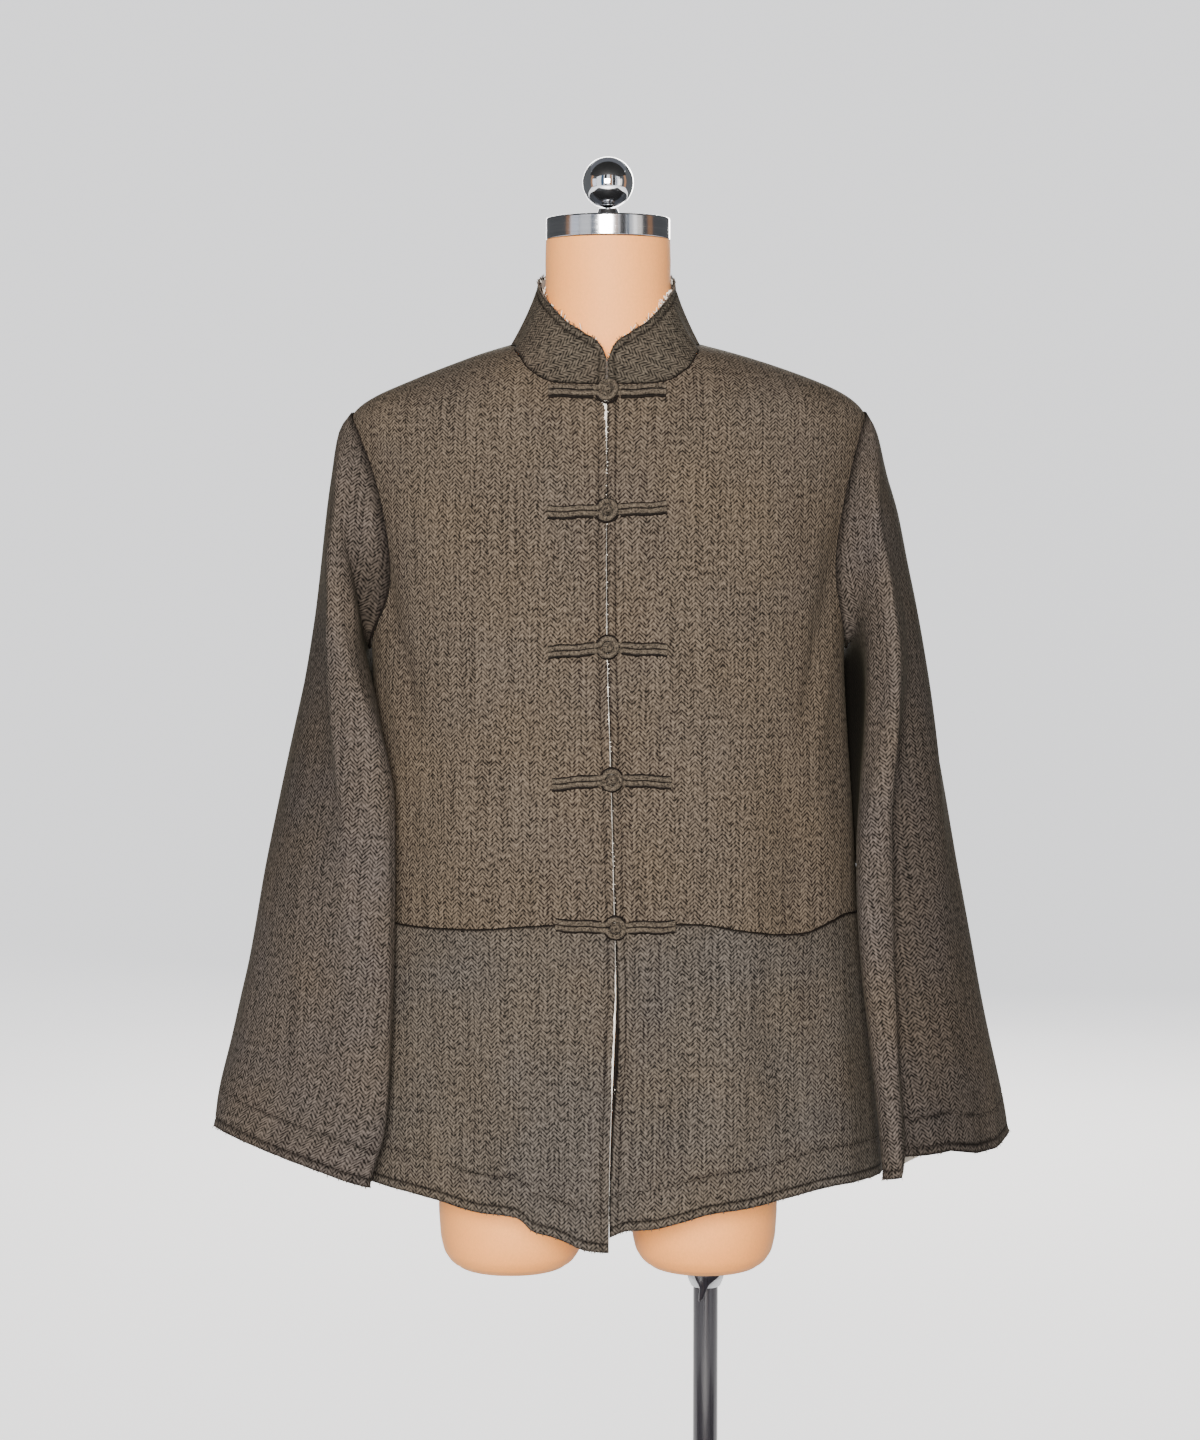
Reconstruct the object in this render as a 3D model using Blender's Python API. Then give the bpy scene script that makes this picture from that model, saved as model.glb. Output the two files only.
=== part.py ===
"""A tang jacket worn by a limbless dress form: cut cloth panels, frog closures, form and stand.

Metres, +Z up. The front faces -Y and +X is the wearer's left. The origin is on the floor, under the
middle of the whole. Every cloth piece is a thin wall: its outer points come from one body surface or
from sleeve sections, and its inner points lie one cloth thickness further in.
"""

import math

import bmesh
import bpy
import numpy as np

for old in list(bpy.data.objects):
    bpy.data.objects.remove(old, do_unlink=True)

# ---------------------------------------------------------------- driving dimensions
CLOTH = 0.0018              # wall of the double-faced wool
SEAM_GAP = 0.0003           # between two pieces that meet
LAID_GAP = 0.0004           # between a piece and the panel that it lies on
HEM_HEIGHT = 0.712          # side and back hem above the floor
POCKET_HEIGHT = 0.949       # top edge of the pocket panels
LEVEL_UP_TO = 1.250         # panel rows are level up to here, and above it they fan to the shoulder
ARMPIT_HEIGHT = 1.180
SHOULDER_TIP_HEIGHT = 1.386
NECK_POINT_HEIGHT = 1.4455  # where the shoulder seam meets the collar
FRONT_NECK_HEIGHT = 1.409
BACK_NECK_HEIGHT = 1.4405
NAPE_RISE = 0.016           # the back of the neck stands this much higher than its ring
NAPE_FROM = 1.30            # that rise starts at this height
NAPE_OVER = 0.12            # and is whole this much higher
RIGHT_ARMHOLE_INSET = 0.026  # how far the armhole is cut into the front and back
LEFT_ARMHOLE_INSET = 0.016
WHOLE_SHIFT = -0.0060       # the sleeves hang unevenly: this centres the whole over the floor
ARM_STEPS = 10              # steps from armpit to shoulder tip, and half of those round a sleeve
SHOULDER_STEPS = 5
SIDE_HEIGHTS = (0.735, 0.765, 0.800, 0.840, 0.880, 0.918, POCKET_HEIGHT, 0.975, 1.010, 1.050, 1.095, 1.140)
SIDE_SEAM_TURN = 90.0       # the side seams' turn from the centre front, in degrees
FRONT_COLUMNS = 10
BACK_COLUMNS = 16

# The body's outer surface: one row for each level ring, which is a rounded oval.
BODY_RINGS = dict(
    columns=("height", "half_width", "front", "back", "side_power", "depth_power", "shift"),
    rows=(
        (0.660, 0.2420, 0.147, 0.124, 2.15, 2.10, 0.0050),
        (0.720, 0.2380, 0.145, 0.122, 2.15, 2.10, 0.0050),
        (0.800, 0.2310, 0.142, 0.120, 2.20, 2.10, 0.0050),
        (0.885, 0.2240, 0.139, 0.117, 2.25, 2.10, 0.0045),
        (0.980, 0.2165, 0.135, 0.114, 2.30, 2.10, 0.0040),
        (1.060, 0.2110, 0.131, 0.113, 2.30, 2.10, 0.0030),
        (1.120, 0.2085, 0.129, 0.114, 2.30, 2.05, 0.0015),
        (1.180, 0.2085, 0.128, 0.116, 2.30, 2.00, 0.0000),
        (1.240, 0.2140, 0.126, 0.117, 2.30, 1.95, 0.0000),
        (1.300, 0.2205, 0.119, 0.114, 2.30, 1.85, 0.0000),
        (1.340, 0.2245, 0.109, 0.108, 2.25, 1.75, 0.0000),
        (1.370, 0.2262, 0.098, 0.099, 2.20, 1.70, 0.0000),
        (1.386, 0.2240, 0.092, 0.093, 2.20, 1.65, 0.0000),
        (1.396, 0.2130, 0.087, 0.088, 2.20, 1.65, 0.0000),
        (1.404, 0.1986, 0.083, 0.084, 2.20, 1.60, 0.0000),
        (1.412, 0.1800, 0.079, 0.080, 2.20, 1.60, 0.0000),
        (1.421, 0.1580, 0.073, 0.075, 2.20, 1.60, 0.0000),
        (1.430, 0.1345, 0.066, 0.070, 2.20, 1.60, 0.0000),
        (1.438, 0.1110, 0.058, 0.064, 2.20, 1.60, -0.0010),
        (1.4455, 0.0815, 0.048, 0.056, 2.20, 1.60, -0.0025),
        (1.460, 0.0400, 0.030, 0.040, 2.20, 1.60, 0.0000),
    ),
)

# The neckline on a front panel, from the centre to the shoulder seam: share of the quarter turn, rise.
FRONT_NECKLINE = dict(
    columns=("turn_share", "rise_share"),
    rows=((0.0, 0.0), (0.07, 0.004), (0.15, 0.06), (0.24, 0.30), (0.37, 0.63), (0.56, 0.87), (1.0, 1.0)),
)
BACK_NECKLINE = dict(
    columns=("turn_share", "rise_share"),
    rows=((0.0, 0.0), (0.25, 0.10), (0.55, 0.45), (0.80, 0.80), (1.0, 1.0)),
)

# The front edges: sideways place of the opening and half of the gap between the two edges.
CENTRE_FRONT = dict(
    columns=("height", "shift", "half_gap"),
    rows=(
        (0.660, 0.0005, 0.0004),
        (0.720, 0.0010, 0.0004),
        (0.780, 0.0030, 0.0010),
        (0.840, 0.0060, 0.0018),
        (0.890, 0.0072, 0.0010),
        (0.930, 0.0062, 0.0004),
        (1.000, 0.0045, 0.0004),
        (1.060, 0.0030, 0.0004),
        (1.180, -0.0005, 0.0004),
        (1.409, -0.0010, 0.0004),
    ),
)

# How far the hem hangs below the side hem, by turn from the centre front, for each front.
HEM_DROP = dict(
    columns=("turn", "right_front", "left_front"),
    rows=((0, 0.0392, 0.0262), (5, 0.0365, 0.0203), (9, 0.0280, 0.0188), (13, 0.0230, 0.0145), (18, 0.0110, 0.0085),
          (27, 0.0080, 0.0048), (37, 0.0010, -0.0010), (50, -0.0045, -0.0060), (63, -0.0060, -0.0052),
          (75, -0.0030, -0.0030), (90, 0.0, 0.0)),
)

# Broad hollows (minus) and swells (plus) of the worn cloth. Turn is 0 at the centre front, 90 at the
# wearer's left side, -90 at the right side and 180 at the centre back. Lean moves it with height.
BODY_FOLDS = dict(
    columns=("turn", "height", "turn_reach", "height_reach", "lean", "depth"),
    rows=(
        (63, 1.235, 7, 0.060, 40, -0.0050),
        (-63, 1.235, 7, 0.060, -40, -0.0050),
        (74, 1.080, 9, 0.120, 0, 0.0040),
        (-74, 1.080, 9, 0.120, 0, 0.0040),
        (46, 1.010, 10, 0.055, -60, -0.0060),
        (-50, 1.020, 9, 0.050, 60, -0.0035),
        (24, 0.840, 6, 0.110, 20, 0.0050),
        (12, 0.820, 6, 0.100, 20, -0.0040),
        (-22, 0.800, 7, 0.110, -15, 0.0045),
        (56, 0.800, 8, 0.110, 0, 0.0045),
        (-52, 0.790, 8, 0.110, 0, 0.0040),
        (118, 0.800, 9, 0.130, 10, 0.0060),
        (-118, 0.810, 9, 0.130, -10, 0.0055),
        (140, 0.790, 8, 0.120, 12, -0.0055),
        (-142, 0.800, 8, 0.120, -12, -0.0050),
        (162, 0.800, 9, 0.140, 8, 0.0055),
        (-160, 0.790, 9, 0.140, -8, 0.0050),
        (180, 1.100, 12, 0.120, 0, -0.0070),
        (128, 1.200, 10, 0.080, -50, -0.0055),
        (-128, 1.200, 10, 0.080, 50, -0.0050),
        (82, 1.408, 40, 0.024, 0, 0.0035),
    ),
)

# A sleeve's sections below its armhole: the middle, the lean of the section from level, the turn of
# its long axis from sideways, how far that axis dips to the front, half its thickness, half its
# length and how far its ends curl in.
RIGHT_SLEEVE = dict(
    columns=("out", "ahead", "height", "lean", "yaw", "dip", "half_thick", "half_long", "curl"),
    rows=(
        (0.2235, 0.000, 1.2775, 83, 90, 0, 0.0930, 0.0640, 0.000),
        (0.2285, 0.001, 1.2600, 80, 90, 0, 0.0760, 0.0700, 0.002),
        (0.2320, 0.003, 1.2400, 75, 90, 0, 0.0610, 0.0750, 0.006),
        (0.2350, 0.006, 1.2130, 67, 88, 0, 0.0465, 0.0790, 0.011),
        (0.2370, 0.011, 1.1850, 57, 85, 0, 0.0385, 0.0820, 0.017),
        (0.2395, 0.016, 1.1530, 45, 80, 0, 0.0340, 0.0840, 0.022),
        (0.2420, 0.021, 1.1170, 33, 75, 1, 0.0325, 0.0860, 0.026),
        (0.2445, 0.028, 1.0760, 24, 69, 2, 0.0325, 0.0870, 0.027),
        (0.2485, 0.036, 1.0280, 18, 63, 3, 0.0320, 0.0870, 0.024),
        (0.2530, 0.044, 0.9750, 16, 56, 5, 0.0310, 0.0870, 0.021),
        (0.2565, 0.053, 0.9200, 15, 50, 7, 0.0295, 0.0880, 0.017),
        (0.2600, 0.060, 0.8670, 15, 44, 9, 0.0275, 0.0890, 0.012),
        (0.2640, 0.066, 0.8170, 15, 39, 10, 0.0250, 0.0900, 0.008),
        (0.2685, 0.070, 0.7730, 15, 34, 11, 0.0220, 0.0910, 0.005),
        (0.2720, 0.073, 0.7370, 15, 32, 12, 0.0190, 0.0910, 0.003),
    ),
)
LEFT_SLEEVE = dict(
    columns=("out", "ahead", "height", "lean", "yaw", "dip", "half_thick", "half_long", "curl"),
    rows=(
        (0.2235, 0.000, 1.2775, 83, 90, 0, 0.0920, 0.0650, 0.000),
        (0.2300, 0.001, 1.2600, 80, 90, 0, 0.0750, 0.0710, 0.001),
        (0.2365, 0.002, 1.2400, 75, 90, 0, 0.0615, 0.0750, 0.002),
        (0.2425, 0.003, 1.2130, 67, 90, 0, 0.0465, 0.0780, 0.003),
        (0.2475, 0.004, 1.1850, 57, 90, 0, 0.0380, 0.0800, 0.004),
        (0.2520, 0.006, 1.1530, 45, 88, 0, 0.0330, 0.0810, 0.006),
        (0.2560, 0.010, 1.1170, 33, 84, 0, 0.0310, 0.0815, 0.009),
        (0.2595, 0.015, 1.0760, 24, 78, 1, 0.0310, 0.0820, 0.012),
        (0.2635, 0.021, 1.0280, 18, 71, 2, 0.0310, 0.0820, 0.014),
        (0.2685, 0.027, 0.9750, 15, 65, 3, 0.0305, 0.0820, 0.013),
        (0.2745, 0.032, 0.9200, 14, 60, 4, 0.0300, 0.0820, 0.010),
        (0.2810, 0.036, 0.8670, 13, 56, 5, 0.0290, 0.0820, 0.006),
        (0.2880, 0.040, 0.8170, 13, 52, 6, 0.0280, 0.0820, 0.003),
        (0.2945, 0.043, 0.7730, 13, 49, 7, 0.0270, 0.0830, 0.001),
        (0.2990, 0.045, 0.7370, 13, 47, 7, 0.0260, 0.0840, 0.000),
    ),
)
ROUND_STEPS = 2 * ARM_STEPS  # points round a sleeve
BACK_CURL = 0.3              # a section's back end curls in by this share of its front end
CALM_ROWS = 3                # the folds fade out over this many rows below the armhole

# Broad folds of each sleeve. Around is 0 on the outer side, 90 in front and 180 on the body side; row
# counts the table's rows down from the armhole.
RIGHT_SLEEVE_FOLDS = dict(
    columns=("around", "row", "around_reach", "row_reach", "depth"),
    rows=((48, 4.5, 24, 3.5, 0.0050), (20, 6.0, 26, 3.0, -0.0035), (120, 4.0, 22, 2.0, -0.0050),
          (0, 11.0, 40, 3.0, 0.0030), (300, 8.0, 24, 4.0, -0.0050), (330, 12.0, 24, 3.0, 0.0040),
          (212, 5.2, 28, 2.6, 0.0110)),
)
LEFT_SLEEVE_FOLDS = dict(
    columns=("around", "row", "around_reach", "row_reach", "depth"),
    rows=((80, 9.0, 20, 6.0, 0.0040), (46, 10.0, 20, 6.0, -0.0080), (10, 9.0, 26, 5.0, 0.0040),
          (250, 10.0, 24, 4.0, -0.0040), (300, 7.0, 24, 4.0, -0.0045), (335, 12.0, 24, 3.0, 0.0040),
          (200, 5.6, 28, 2.6, 0.0160), (198, 8.8, 26, 2.2, 0.0135)),
)


# ---------------------------------------------------------------- reading the tables
def smooth_at(table, key):
    """The table's row at this key, on smooth curves through its rows: an array without the key."""
    rows = np.array(table["rows"], float)
    keys = rows[:, 0]
    slopes = np.gradient(rows[:, 1:], keys, axis=0)
    key = min(max(key, keys[0]), keys[-1])
    i = min(max(int(np.searchsorted(keys, key)) - 1, 0), len(keys) - 2)
    step = keys[i + 1] - keys[i]
    t = (key - keys[i]) / step
    start, end = rows[i, 1:], rows[i + 1, 1:]
    return (
        start * (2 * t**3 - 3 * t**2 + 1)
        + end * (3 * t**2 - 2 * t**3)
        + slopes[i] * step * (t**3 - 2 * t**2 + t)
        + slopes[i + 1] * step * (t**3 - t**2)
    )


def straight_at(table, key, column):
    """One column of the table at this key, on straight lines between its rows."""
    rows = np.array(table["rows"], float)
    return float(np.interp(key, rows[:, 0], rows[:, table["columns"].index(column)]))


# ---------------------------------------------------------------- the body's surface
def ring_point(turn, height):
    """A point of the unfolded body surface. Turn is in degrees from the centre front."""
    half_width, front, back, side_power, depth_power, shift = smooth_at(BODY_RINGS, height)
    across = math.sin(math.radians(turn))
    ahead = math.cos(math.radians(turn))
    depth = front if ahead > 0 else back
    x = half_width * math.copysign(abs(across) ** (2 / side_power), across) + shift
    y = -depth * math.copysign(abs(ahead) ** (2 / depth_power), ahead)
    nape = NAPE_RISE * max(0.0, min(1.0, (height - NAPE_FROM) / NAPE_OVER)) ** 2
    lift = nape * (max(0.0, -ahead) ** 1.5)
    return np.array((x, y, height + lift))


def direction(vector):
    return vector / np.linalg.norm(vector)


def facing(point_at, turn, height):
    """The outward direction of a surface that point_at gives."""
    along = point_at(turn + 1.0, height) - point_at(turn - 1.0, height)
    up = point_at(turn, height + 0.002) - point_at(turn, height - 0.002)
    return direction(np.cross(along, up))


def fold_depth(turn, height):
    """How far the worn cloth swells out or falls in here, from the table of folds."""
    depth = 0.0
    for fold_turn, fold_height, turn_reach, height_reach, lean, fold in BODY_FOLDS["rows"]:
        rise = height - fold_height
        aside = (turn - fold_turn - lean * rise + 180) % 360 - 180
        depth += fold * math.exp(-((aside / turn_reach) ** 2) - (rise / height_reach) ** 2)
    return depth


def body_point(turn, height):
    return ring_point(turn, height) + fold_depth(turn, height) * facing(ring_point, turn, height)


def armhole_turn(height, sign):
    """The turn from the centre front at which the armhole crosses this height on the front."""
    middle = (ARMPIT_HEIGHT + SHOULDER_TIP_HEIGHT) / 2
    half = (SHOULDER_TIP_HEIGHT - ARMPIT_HEIGHT) / 2
    level = min(max((height - middle) / half, -1.0), 1.0)
    half_width, _, _, side_power, _, _ = smooth_at(BODY_RINGS, height)
    inset = LEFT_ARMHOLE_INSET if sign > 0 else RIGHT_ARMHOLE_INSET
    share = 1 - inset * (1 - level**2) / half_width
    return sign * math.degrees(math.asin(share ** (side_power / 2)))


def arm_heights():
    """Heights of the rows from armpit to shoulder tip, closer at both ends."""
    middle = (ARMPIT_HEIGHT + SHOULDER_TIP_HEIGHT) / 2
    half = (SHOULDER_TIP_HEIGHT - ARMPIT_HEIGHT) / 2
    return [middle - half * math.cos(math.pi * i / ARM_STEPS) for i in range(ARM_STEPS + 1)]


def edge_rows(sign):
    """(turn, height) of each panel row's outer end: side seam, armhole, then shoulder seam."""
    rows = [(SIDE_SEAM_TURN, height) for height in (HEM_HEIGHT, *SIDE_HEIGHTS)]
    for height in arm_heights():
        rows.append((abs(armhole_turn(height, sign)), height))
    for i in range(1, SHOULDER_STEPS + 1):
        rise = (NECK_POINT_HEIGHT - SHOULDER_TIP_HEIGHT) * i / SHOULDER_STEPS
        rows.append((SIDE_SEAM_TURN, SHOULDER_TIP_HEIGHT + rise))
    return rows


def middle_height(edge_height, top):
    """Height of a row at the centre line, for its height at the outer edge."""
    share = max(0.0, edge_height - LEVEL_UP_TO) / (NECK_POINT_HEIGHT - LEVEL_UP_TO)
    return min(edge_height, LEVEL_UP_TO) + share * (top - LEVEL_UP_TO)


# ---------------------------------------------------------------- meshes
def material(name, colour, roughness, metallic=0.0):
    made = bpy.data.materials.new(name)
    made.use_nodes = True
    shader = made.node_tree.nodes["Principled BSDF"]
    shader.inputs["Base Color"].default_value = (*colour, 1.0)
    shader.inputs["Roughness"].default_value = roughness
    shader.inputs["Metallic"].default_value = metallic
    made.diffuse_color = (*colour, 1.0)
    return made


def add_object(name, points, faces, finish, smooth_angle=40):
    """A mesh object from points and faces, its faces turned to point out."""
    mesh = bpy.data.meshes.new(name)
    mesh.from_pydata([tuple(map(float, point)) for point in points], [], faces)
    shaped = bmesh.new()
    shaped.from_mesh(mesh)
    bmesh.ops.recalc_face_normals(shaped, faces=shaped.faces)
    shaped.to_mesh(mesh)
    shaped.free()
    mesh.shade_smooth()
    mesh.set_sharp_from_angle(angle=math.radians(smooth_angle))
    mesh.materials.append(finish)
    made = bpy.data.objects.new(name, mesh)
    bpy.context.scene.collection.objects.link(made)
    return made


def grid_faces(rows, columns, start, wrap):
    """Quads of a grid of points numbered row by row from start."""
    faces = []
    for r in range(rows - 1):
        for c in range(columns if wrap else columns - 1):
            d = (c + 1) % columns
            a, b = start + r * columns, start + (r + 1) * columns
            faces.append((a + c, a + d, b + d, b + c))
    return faces


def wall(name, outer, inner, finish, wrap=False):
    """A closed wall between two grids of points, shaped (rows, columns, 3). Wrap joins the columns."""
    rows, columns = outer.shape[:2]
    count = rows * columns
    faces = grid_faces(rows, columns, 0, wrap) + grid_faces(rows, columns, count, wrap)
    bottom = [(0, c) for c in range(columns)]
    top = [(rows - 1, c) for c in range(columns)]
    far_side = [(r, columns - 1) for r in range(1, rows)]
    near_side = [(r, 0) for r in range(rows - 2, -1, -1)]
    rims = [bottom + bottom[:1], top + top[:1]] if wrap else [bottom + far_side + top[-2::-1] + near_side]
    for rim in rims:
        for (r0, c0), (r1, c1) in zip(rim, rim[1:]):
            a, b = r0 * columns + c0, r1 * columns + c1
            faces.append((a, b, count + b, count + a))
    points = np.concatenate([outer.reshape(-1, 3), inner.reshape(-1, 3)])
    return add_object(name, points, faces, finish)


def grid_facing(grid, wrap=False):
    """Outward directions of a grid of points that runs round the object in columns and up in rows."""
    if wrap:
        along = np.roll(grid, -1, axis=1) - np.roll(grid, 1, axis=1)
    else:
        along = np.gradient(grid, axis=1)
    up = np.gradient(grid, axis=0)
    out = np.cross(along, up)
    return out / np.linalg.norm(out, axis=2, keepdims=True)


# ---------------------------------------------------------------- panels of the body
NEAR_SEAM = 0.1  # degrees: a column this near the side seam's turn lies along it


def front_turns_and_heights(sign):
    """(turn, height) of a front panel's grid, from the centre edge to the side, hem to shoulder."""
    drops = HEM_DROP["columns"][2 if sign > 0 else 1]
    grid = []
    for seam_turn, edge_height in edge_rows(sign):
        centre_height = middle_height(edge_height, FRONT_NECK_HEIGHT)
        row = []
        for c in range(FRONT_COLUMNS + 1):
            share = c / FRONT_COLUMNS
            rise = smooth_at(FRONT_NECKLINE, share)[0]
            level = centre_height + (edge_height - centre_height) * rise
            turn = seam_turn * share
            hang = max(0.0, (POCKET_HEIGHT - level) / (POCKET_HEIGHT - HEM_HEIGHT))
            level -= hang**1.5 * straight_at(HEM_DROP, turn, drops)
            row.append((turn, level))
        grid.append(row)
    return grid


def shifted_from_centre(sign, turn, height):
    """Turn on the body of a front panel's point, with the panel's centre edge on the opening."""
    shift, half_gap = smooth_at(CENTRE_FRONT, height)
    half_width, _, _, side_power, _, ring_shift = smooth_at(BODY_RINGS, height)
    edge = sign * (shift - ring_shift) + half_gap
    start = math.degrees(math.asin(math.copysign((abs(edge) / half_width) ** (side_power / 2), edge)))
    return sign * (start + turn / SIDE_SEAM_TURN * (SIDE_SEAM_TURN - start))


def seam_trim(turn, height, towards):
    """Turn moved by half of the seam gap, towards this side and away from the neighbouring panel."""
    here = body_point(turn, height)
    aside = body_point(turn + 0.2, height)
    return turn + towards * 0.2 * (SEAM_GAP / 2) / np.linalg.norm(aside - here)


def front_panel(sign):
    """Outer points and outward directions of a front. Sign is 1 for the wearer's left."""
    grid = front_turns_and_heights(sign)
    outer = np.zeros((len(grid), FRONT_COLUMNS + 1, 3))
    out = np.zeros_like(outer)
    for r, row in enumerate(grid):
        for c, (turn, height) in enumerate(row):
            turn = shifted_from_centre(sign, turn, height)
            if abs(turn) > SIDE_SEAM_TURN - NEAR_SEAM:
                turn = seam_trim(turn, height, -sign)
            outer[r, c] = body_point(turn, height)
            out[r, c] = facing(body_point, turn, height)
    return outer, out


def back_panel():
    """Outer points and outward directions of the back, from the wearer's left to the right side."""
    left_rows, right_rows = edge_rows(1), edge_rows(-1)
    outer = np.zeros((len(left_rows), BACK_COLUMNS + 1, 3))
    out = np.zeros_like(outer)
    for r in range(len(left_rows)):
        for c in range(BACK_COLUMNS + 1):
            share = 1 - 2 * c / BACK_COLUMNS
            seam_turn, edge_height = left_rows[r] if share > 0 else right_rows[r]
            centre_height = middle_height(edge_height, BACK_NECK_HEIGHT)
            rise = smooth_at(BACK_NECKLINE, abs(share))[0]
            height = centre_height + (edge_height - centre_height) * rise
            turn = 180 - share * seam_turn
            if turn < SIDE_SEAM_TURN + NEAR_SEAM:
                turn = seam_trim(turn, height, 1)
            if turn > 360 - SIDE_SEAM_TURN - NEAR_SEAM:
                turn = seam_trim(turn, height, -1)
            outer[r, c] = body_point(turn, height)
            out[r, c] = facing(body_point, turn, height)
    return outer, out


JACKET_OLIVE = (0.150, 0.118, 0.090)
POCKET_OLIVE = (0.158, 0.126, 0.098)
SLEEVE_OLIVE = (0.128, 0.103, 0.080)
COLLAR_OLIVE = (0.110, 0.088, 0.062)
CORD_OLIVE = (0.088, 0.070, 0.050)

WOOL_ROUGHNESS = 0.9

wool = material("wool_body", JACKET_OLIVE, WOOL_ROUGHNESS)
front_panels = {sign: front_panel(sign) for sign in (1, -1)}
for side_name, side_sign in (("left", 1), ("right", -1)):
    panel, panel_out = front_panels[side_sign]
    wall(f"front_{side_name}", panel, panel - CLOTH * panel_out, wool)
back, back_out = back_panel()
wall("back", back, back - CLOTH * back_out, wool)


# ---------------------------------------------------------------- sleeves
def armhole_loop(sign):
    """Points and outward directions of the armhole's edge on the body, from the tip round the front."""
    heights = arm_heights()[::-1]
    around = [(armhole_turn(height, sign), height) for height in heights]
    around += [(180 * sign - turn, height) for turn, height in around[-2:0:-1]]
    points = np.array([body_point(turn, height) for turn, height in around])
    out = np.array([facing(body_point, turn, height) for turn, height in around])
    return points, out


def sleeve_section(sign, row):
    """A sleeve's inner points at one row of its table, from its outer side round the front."""
    out, ahead, height, lean, yaw, dip, half_thick, half_long, curl = row
    lean, yaw, dip = math.radians(lean), math.radians(yaw), math.radians(dip)
    sideways, facewards = sign * math.sin(yaw), -math.cos(yaw)
    outward = np.array((sideways * math.cos(lean), facewards * math.cos(lean), math.sin(lean)))
    forward = np.array((sign * facewards * math.cos(dip), -math.sin(yaw) * math.cos(dip), -math.sin(dip)))
    middle = np.array((sign * out, -ahead, height))
    points = []
    for i in range(ROUND_STEPS):
        angle = 2 * math.pi * i / ROUND_STEPS
        end_curl = curl if math.sin(angle) > 0 else curl * BACK_CURL
        thick = half_thick * math.cos(angle) - end_curl * math.sin(angle) ** 2
        points.append(middle + thick * outward + half_long * math.sin(angle) * forward)
    return np.array(points)


def sleeve_fold(folds, around, row):
    """How far the sleeve swells out or falls in here, from its table of folds."""
    depth = 0.0
    for fold_around, fold_row, around_reach, row_reach, fold in folds["rows"]:
        aside = (around - fold_around + 180) % 360 - 180
        depth += fold * math.exp(-((aside / around_reach) ** 2) - ((row - fold_row) / row_reach) ** 2)
    return depth


def sleeve_grid(sign, table, folds):
    """Inner points and outward directions of a sleeve from cuff to armhole, in rows that run round it."""
    edge, edge_out = armhole_loop(sign)
    sections = [sleeve_section(sign, row) for row in table["rows"]]
    away = sections[0] - edge
    away /= np.linalg.norm(away, axis=1, keepdims=True)
    rows = [edge + SEAM_GAP * (edge_out + away / 2), *sections]
    inner = np.array(rows)[::-1]
    out = -sign * grid_facing(inner, wrap=True)
    around = [360 * i / ROUND_STEPS for i in range(ROUND_STEPS)]
    depth = np.array([
        [sleeve_fold(folds, spot, row) * min(1.0, row / CALM_ROWS) for spot in around]
        for row in range(len(rows) - 1, -1, -1)
    ])
    inner = inner + depth[:, :, None] * out
    return inner, -sign * grid_facing(inner, wrap=True)


for side_name, side_sign, table, folds in (
    ("left", 1, LEFT_SLEEVE, LEFT_SLEEVE_FOLDS),
    ("right", -1, RIGHT_SLEEVE, RIGHT_SLEEVE_FOLDS),
):
    inner, out = sleeve_grid(side_sign, table, folds)
    finish = material(f"wool_sleeve_{side_name}", SLEEVE_OLIVE, WOOL_ROUGHNESS)
    wall(f"sleeve_{side_name}", inner + CLOTH * out, inner, finish, wrap=True)


# ---------------------------------------------------------------- collar
COLLAR_HALF_WIDTH = 0.0590
COLLAR_FRONT = 0.0640
COLLAR_BACK = 0.0600
COLLAR_SHIFT = -0.0012      # the neck stands a little to the wearer's right
COLLAR_RIM = dict(
    columns=("turn", "height"),
    rows=((0, 1.4520), (17, 1.4530), (34, 1.4620), (55, 1.4790), (75, 1.4920), (90, 1.5005), (130, 1.5110),
          (180, 1.5150)),
)
# The front corners are rounded off: share of the band's height that is left.
COLLAR_CORNER = dict(
    columns=("turn", "share"),
    rows=((0.0, 0.46), (1.5, 0.60), (4.0, 0.74), (8.0, 0.86), (14.0, 0.95), (22.0, 1.0), (180.0, 1.0)),
)
EDGE_REACH = 0.0008         # a neckline point this near the middle belongs to the band's front edge
COLLAR_STEPS = 4
COLLAR_STAND_OFF = 0.0006   # the band starts this far up from the neckline
COLLAR_HOLLOW = 0.0015      # the band bends in this much between seam and rim
CORNER_PLACES = (0.08, 0.18, 0.32, 0.52, 0.75)  # extra columns between a front's first two


def neckline(sign):
    """Points and outward directions along the neckline, from a front's edge to the centre back."""
    front, front_out = front_panels[sign]
    half = BACK_COLUMNS // 2
    points = list(front[-1]) + list(back[-1, ::sign][1:half + 1])
    directions = list(front_out[-1]) + list(back_out[-1, ::sign][1:half + 1])
    for place in reversed(CORNER_PLACES):
        points.insert(1, front[-1, 0] + place * (front[-1, 1] - front[-1, 0]))
        directions.insert(1, front_out[-1, 0] + place * (front_out[-1, 1] - front_out[-1, 0]))
    return np.array(points), np.array(directions)


def rim_point(sign, turn):
    depth = COLLAR_FRONT if turn < 90 else COLLAR_BACK
    x = COLLAR_HALF_WIDTH * math.sin(math.radians(turn))
    half_gap = straight_at(CENTRE_FRONT, FRONT_NECK_HEIGHT, "half_gap")
    return np.array((
        sign * (x + half_gap) + COLLAR_SHIFT,
        -depth * math.cos(math.radians(turn)),
        straight_at(COLLAR_RIM, turn, "height"),
    ))


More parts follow.
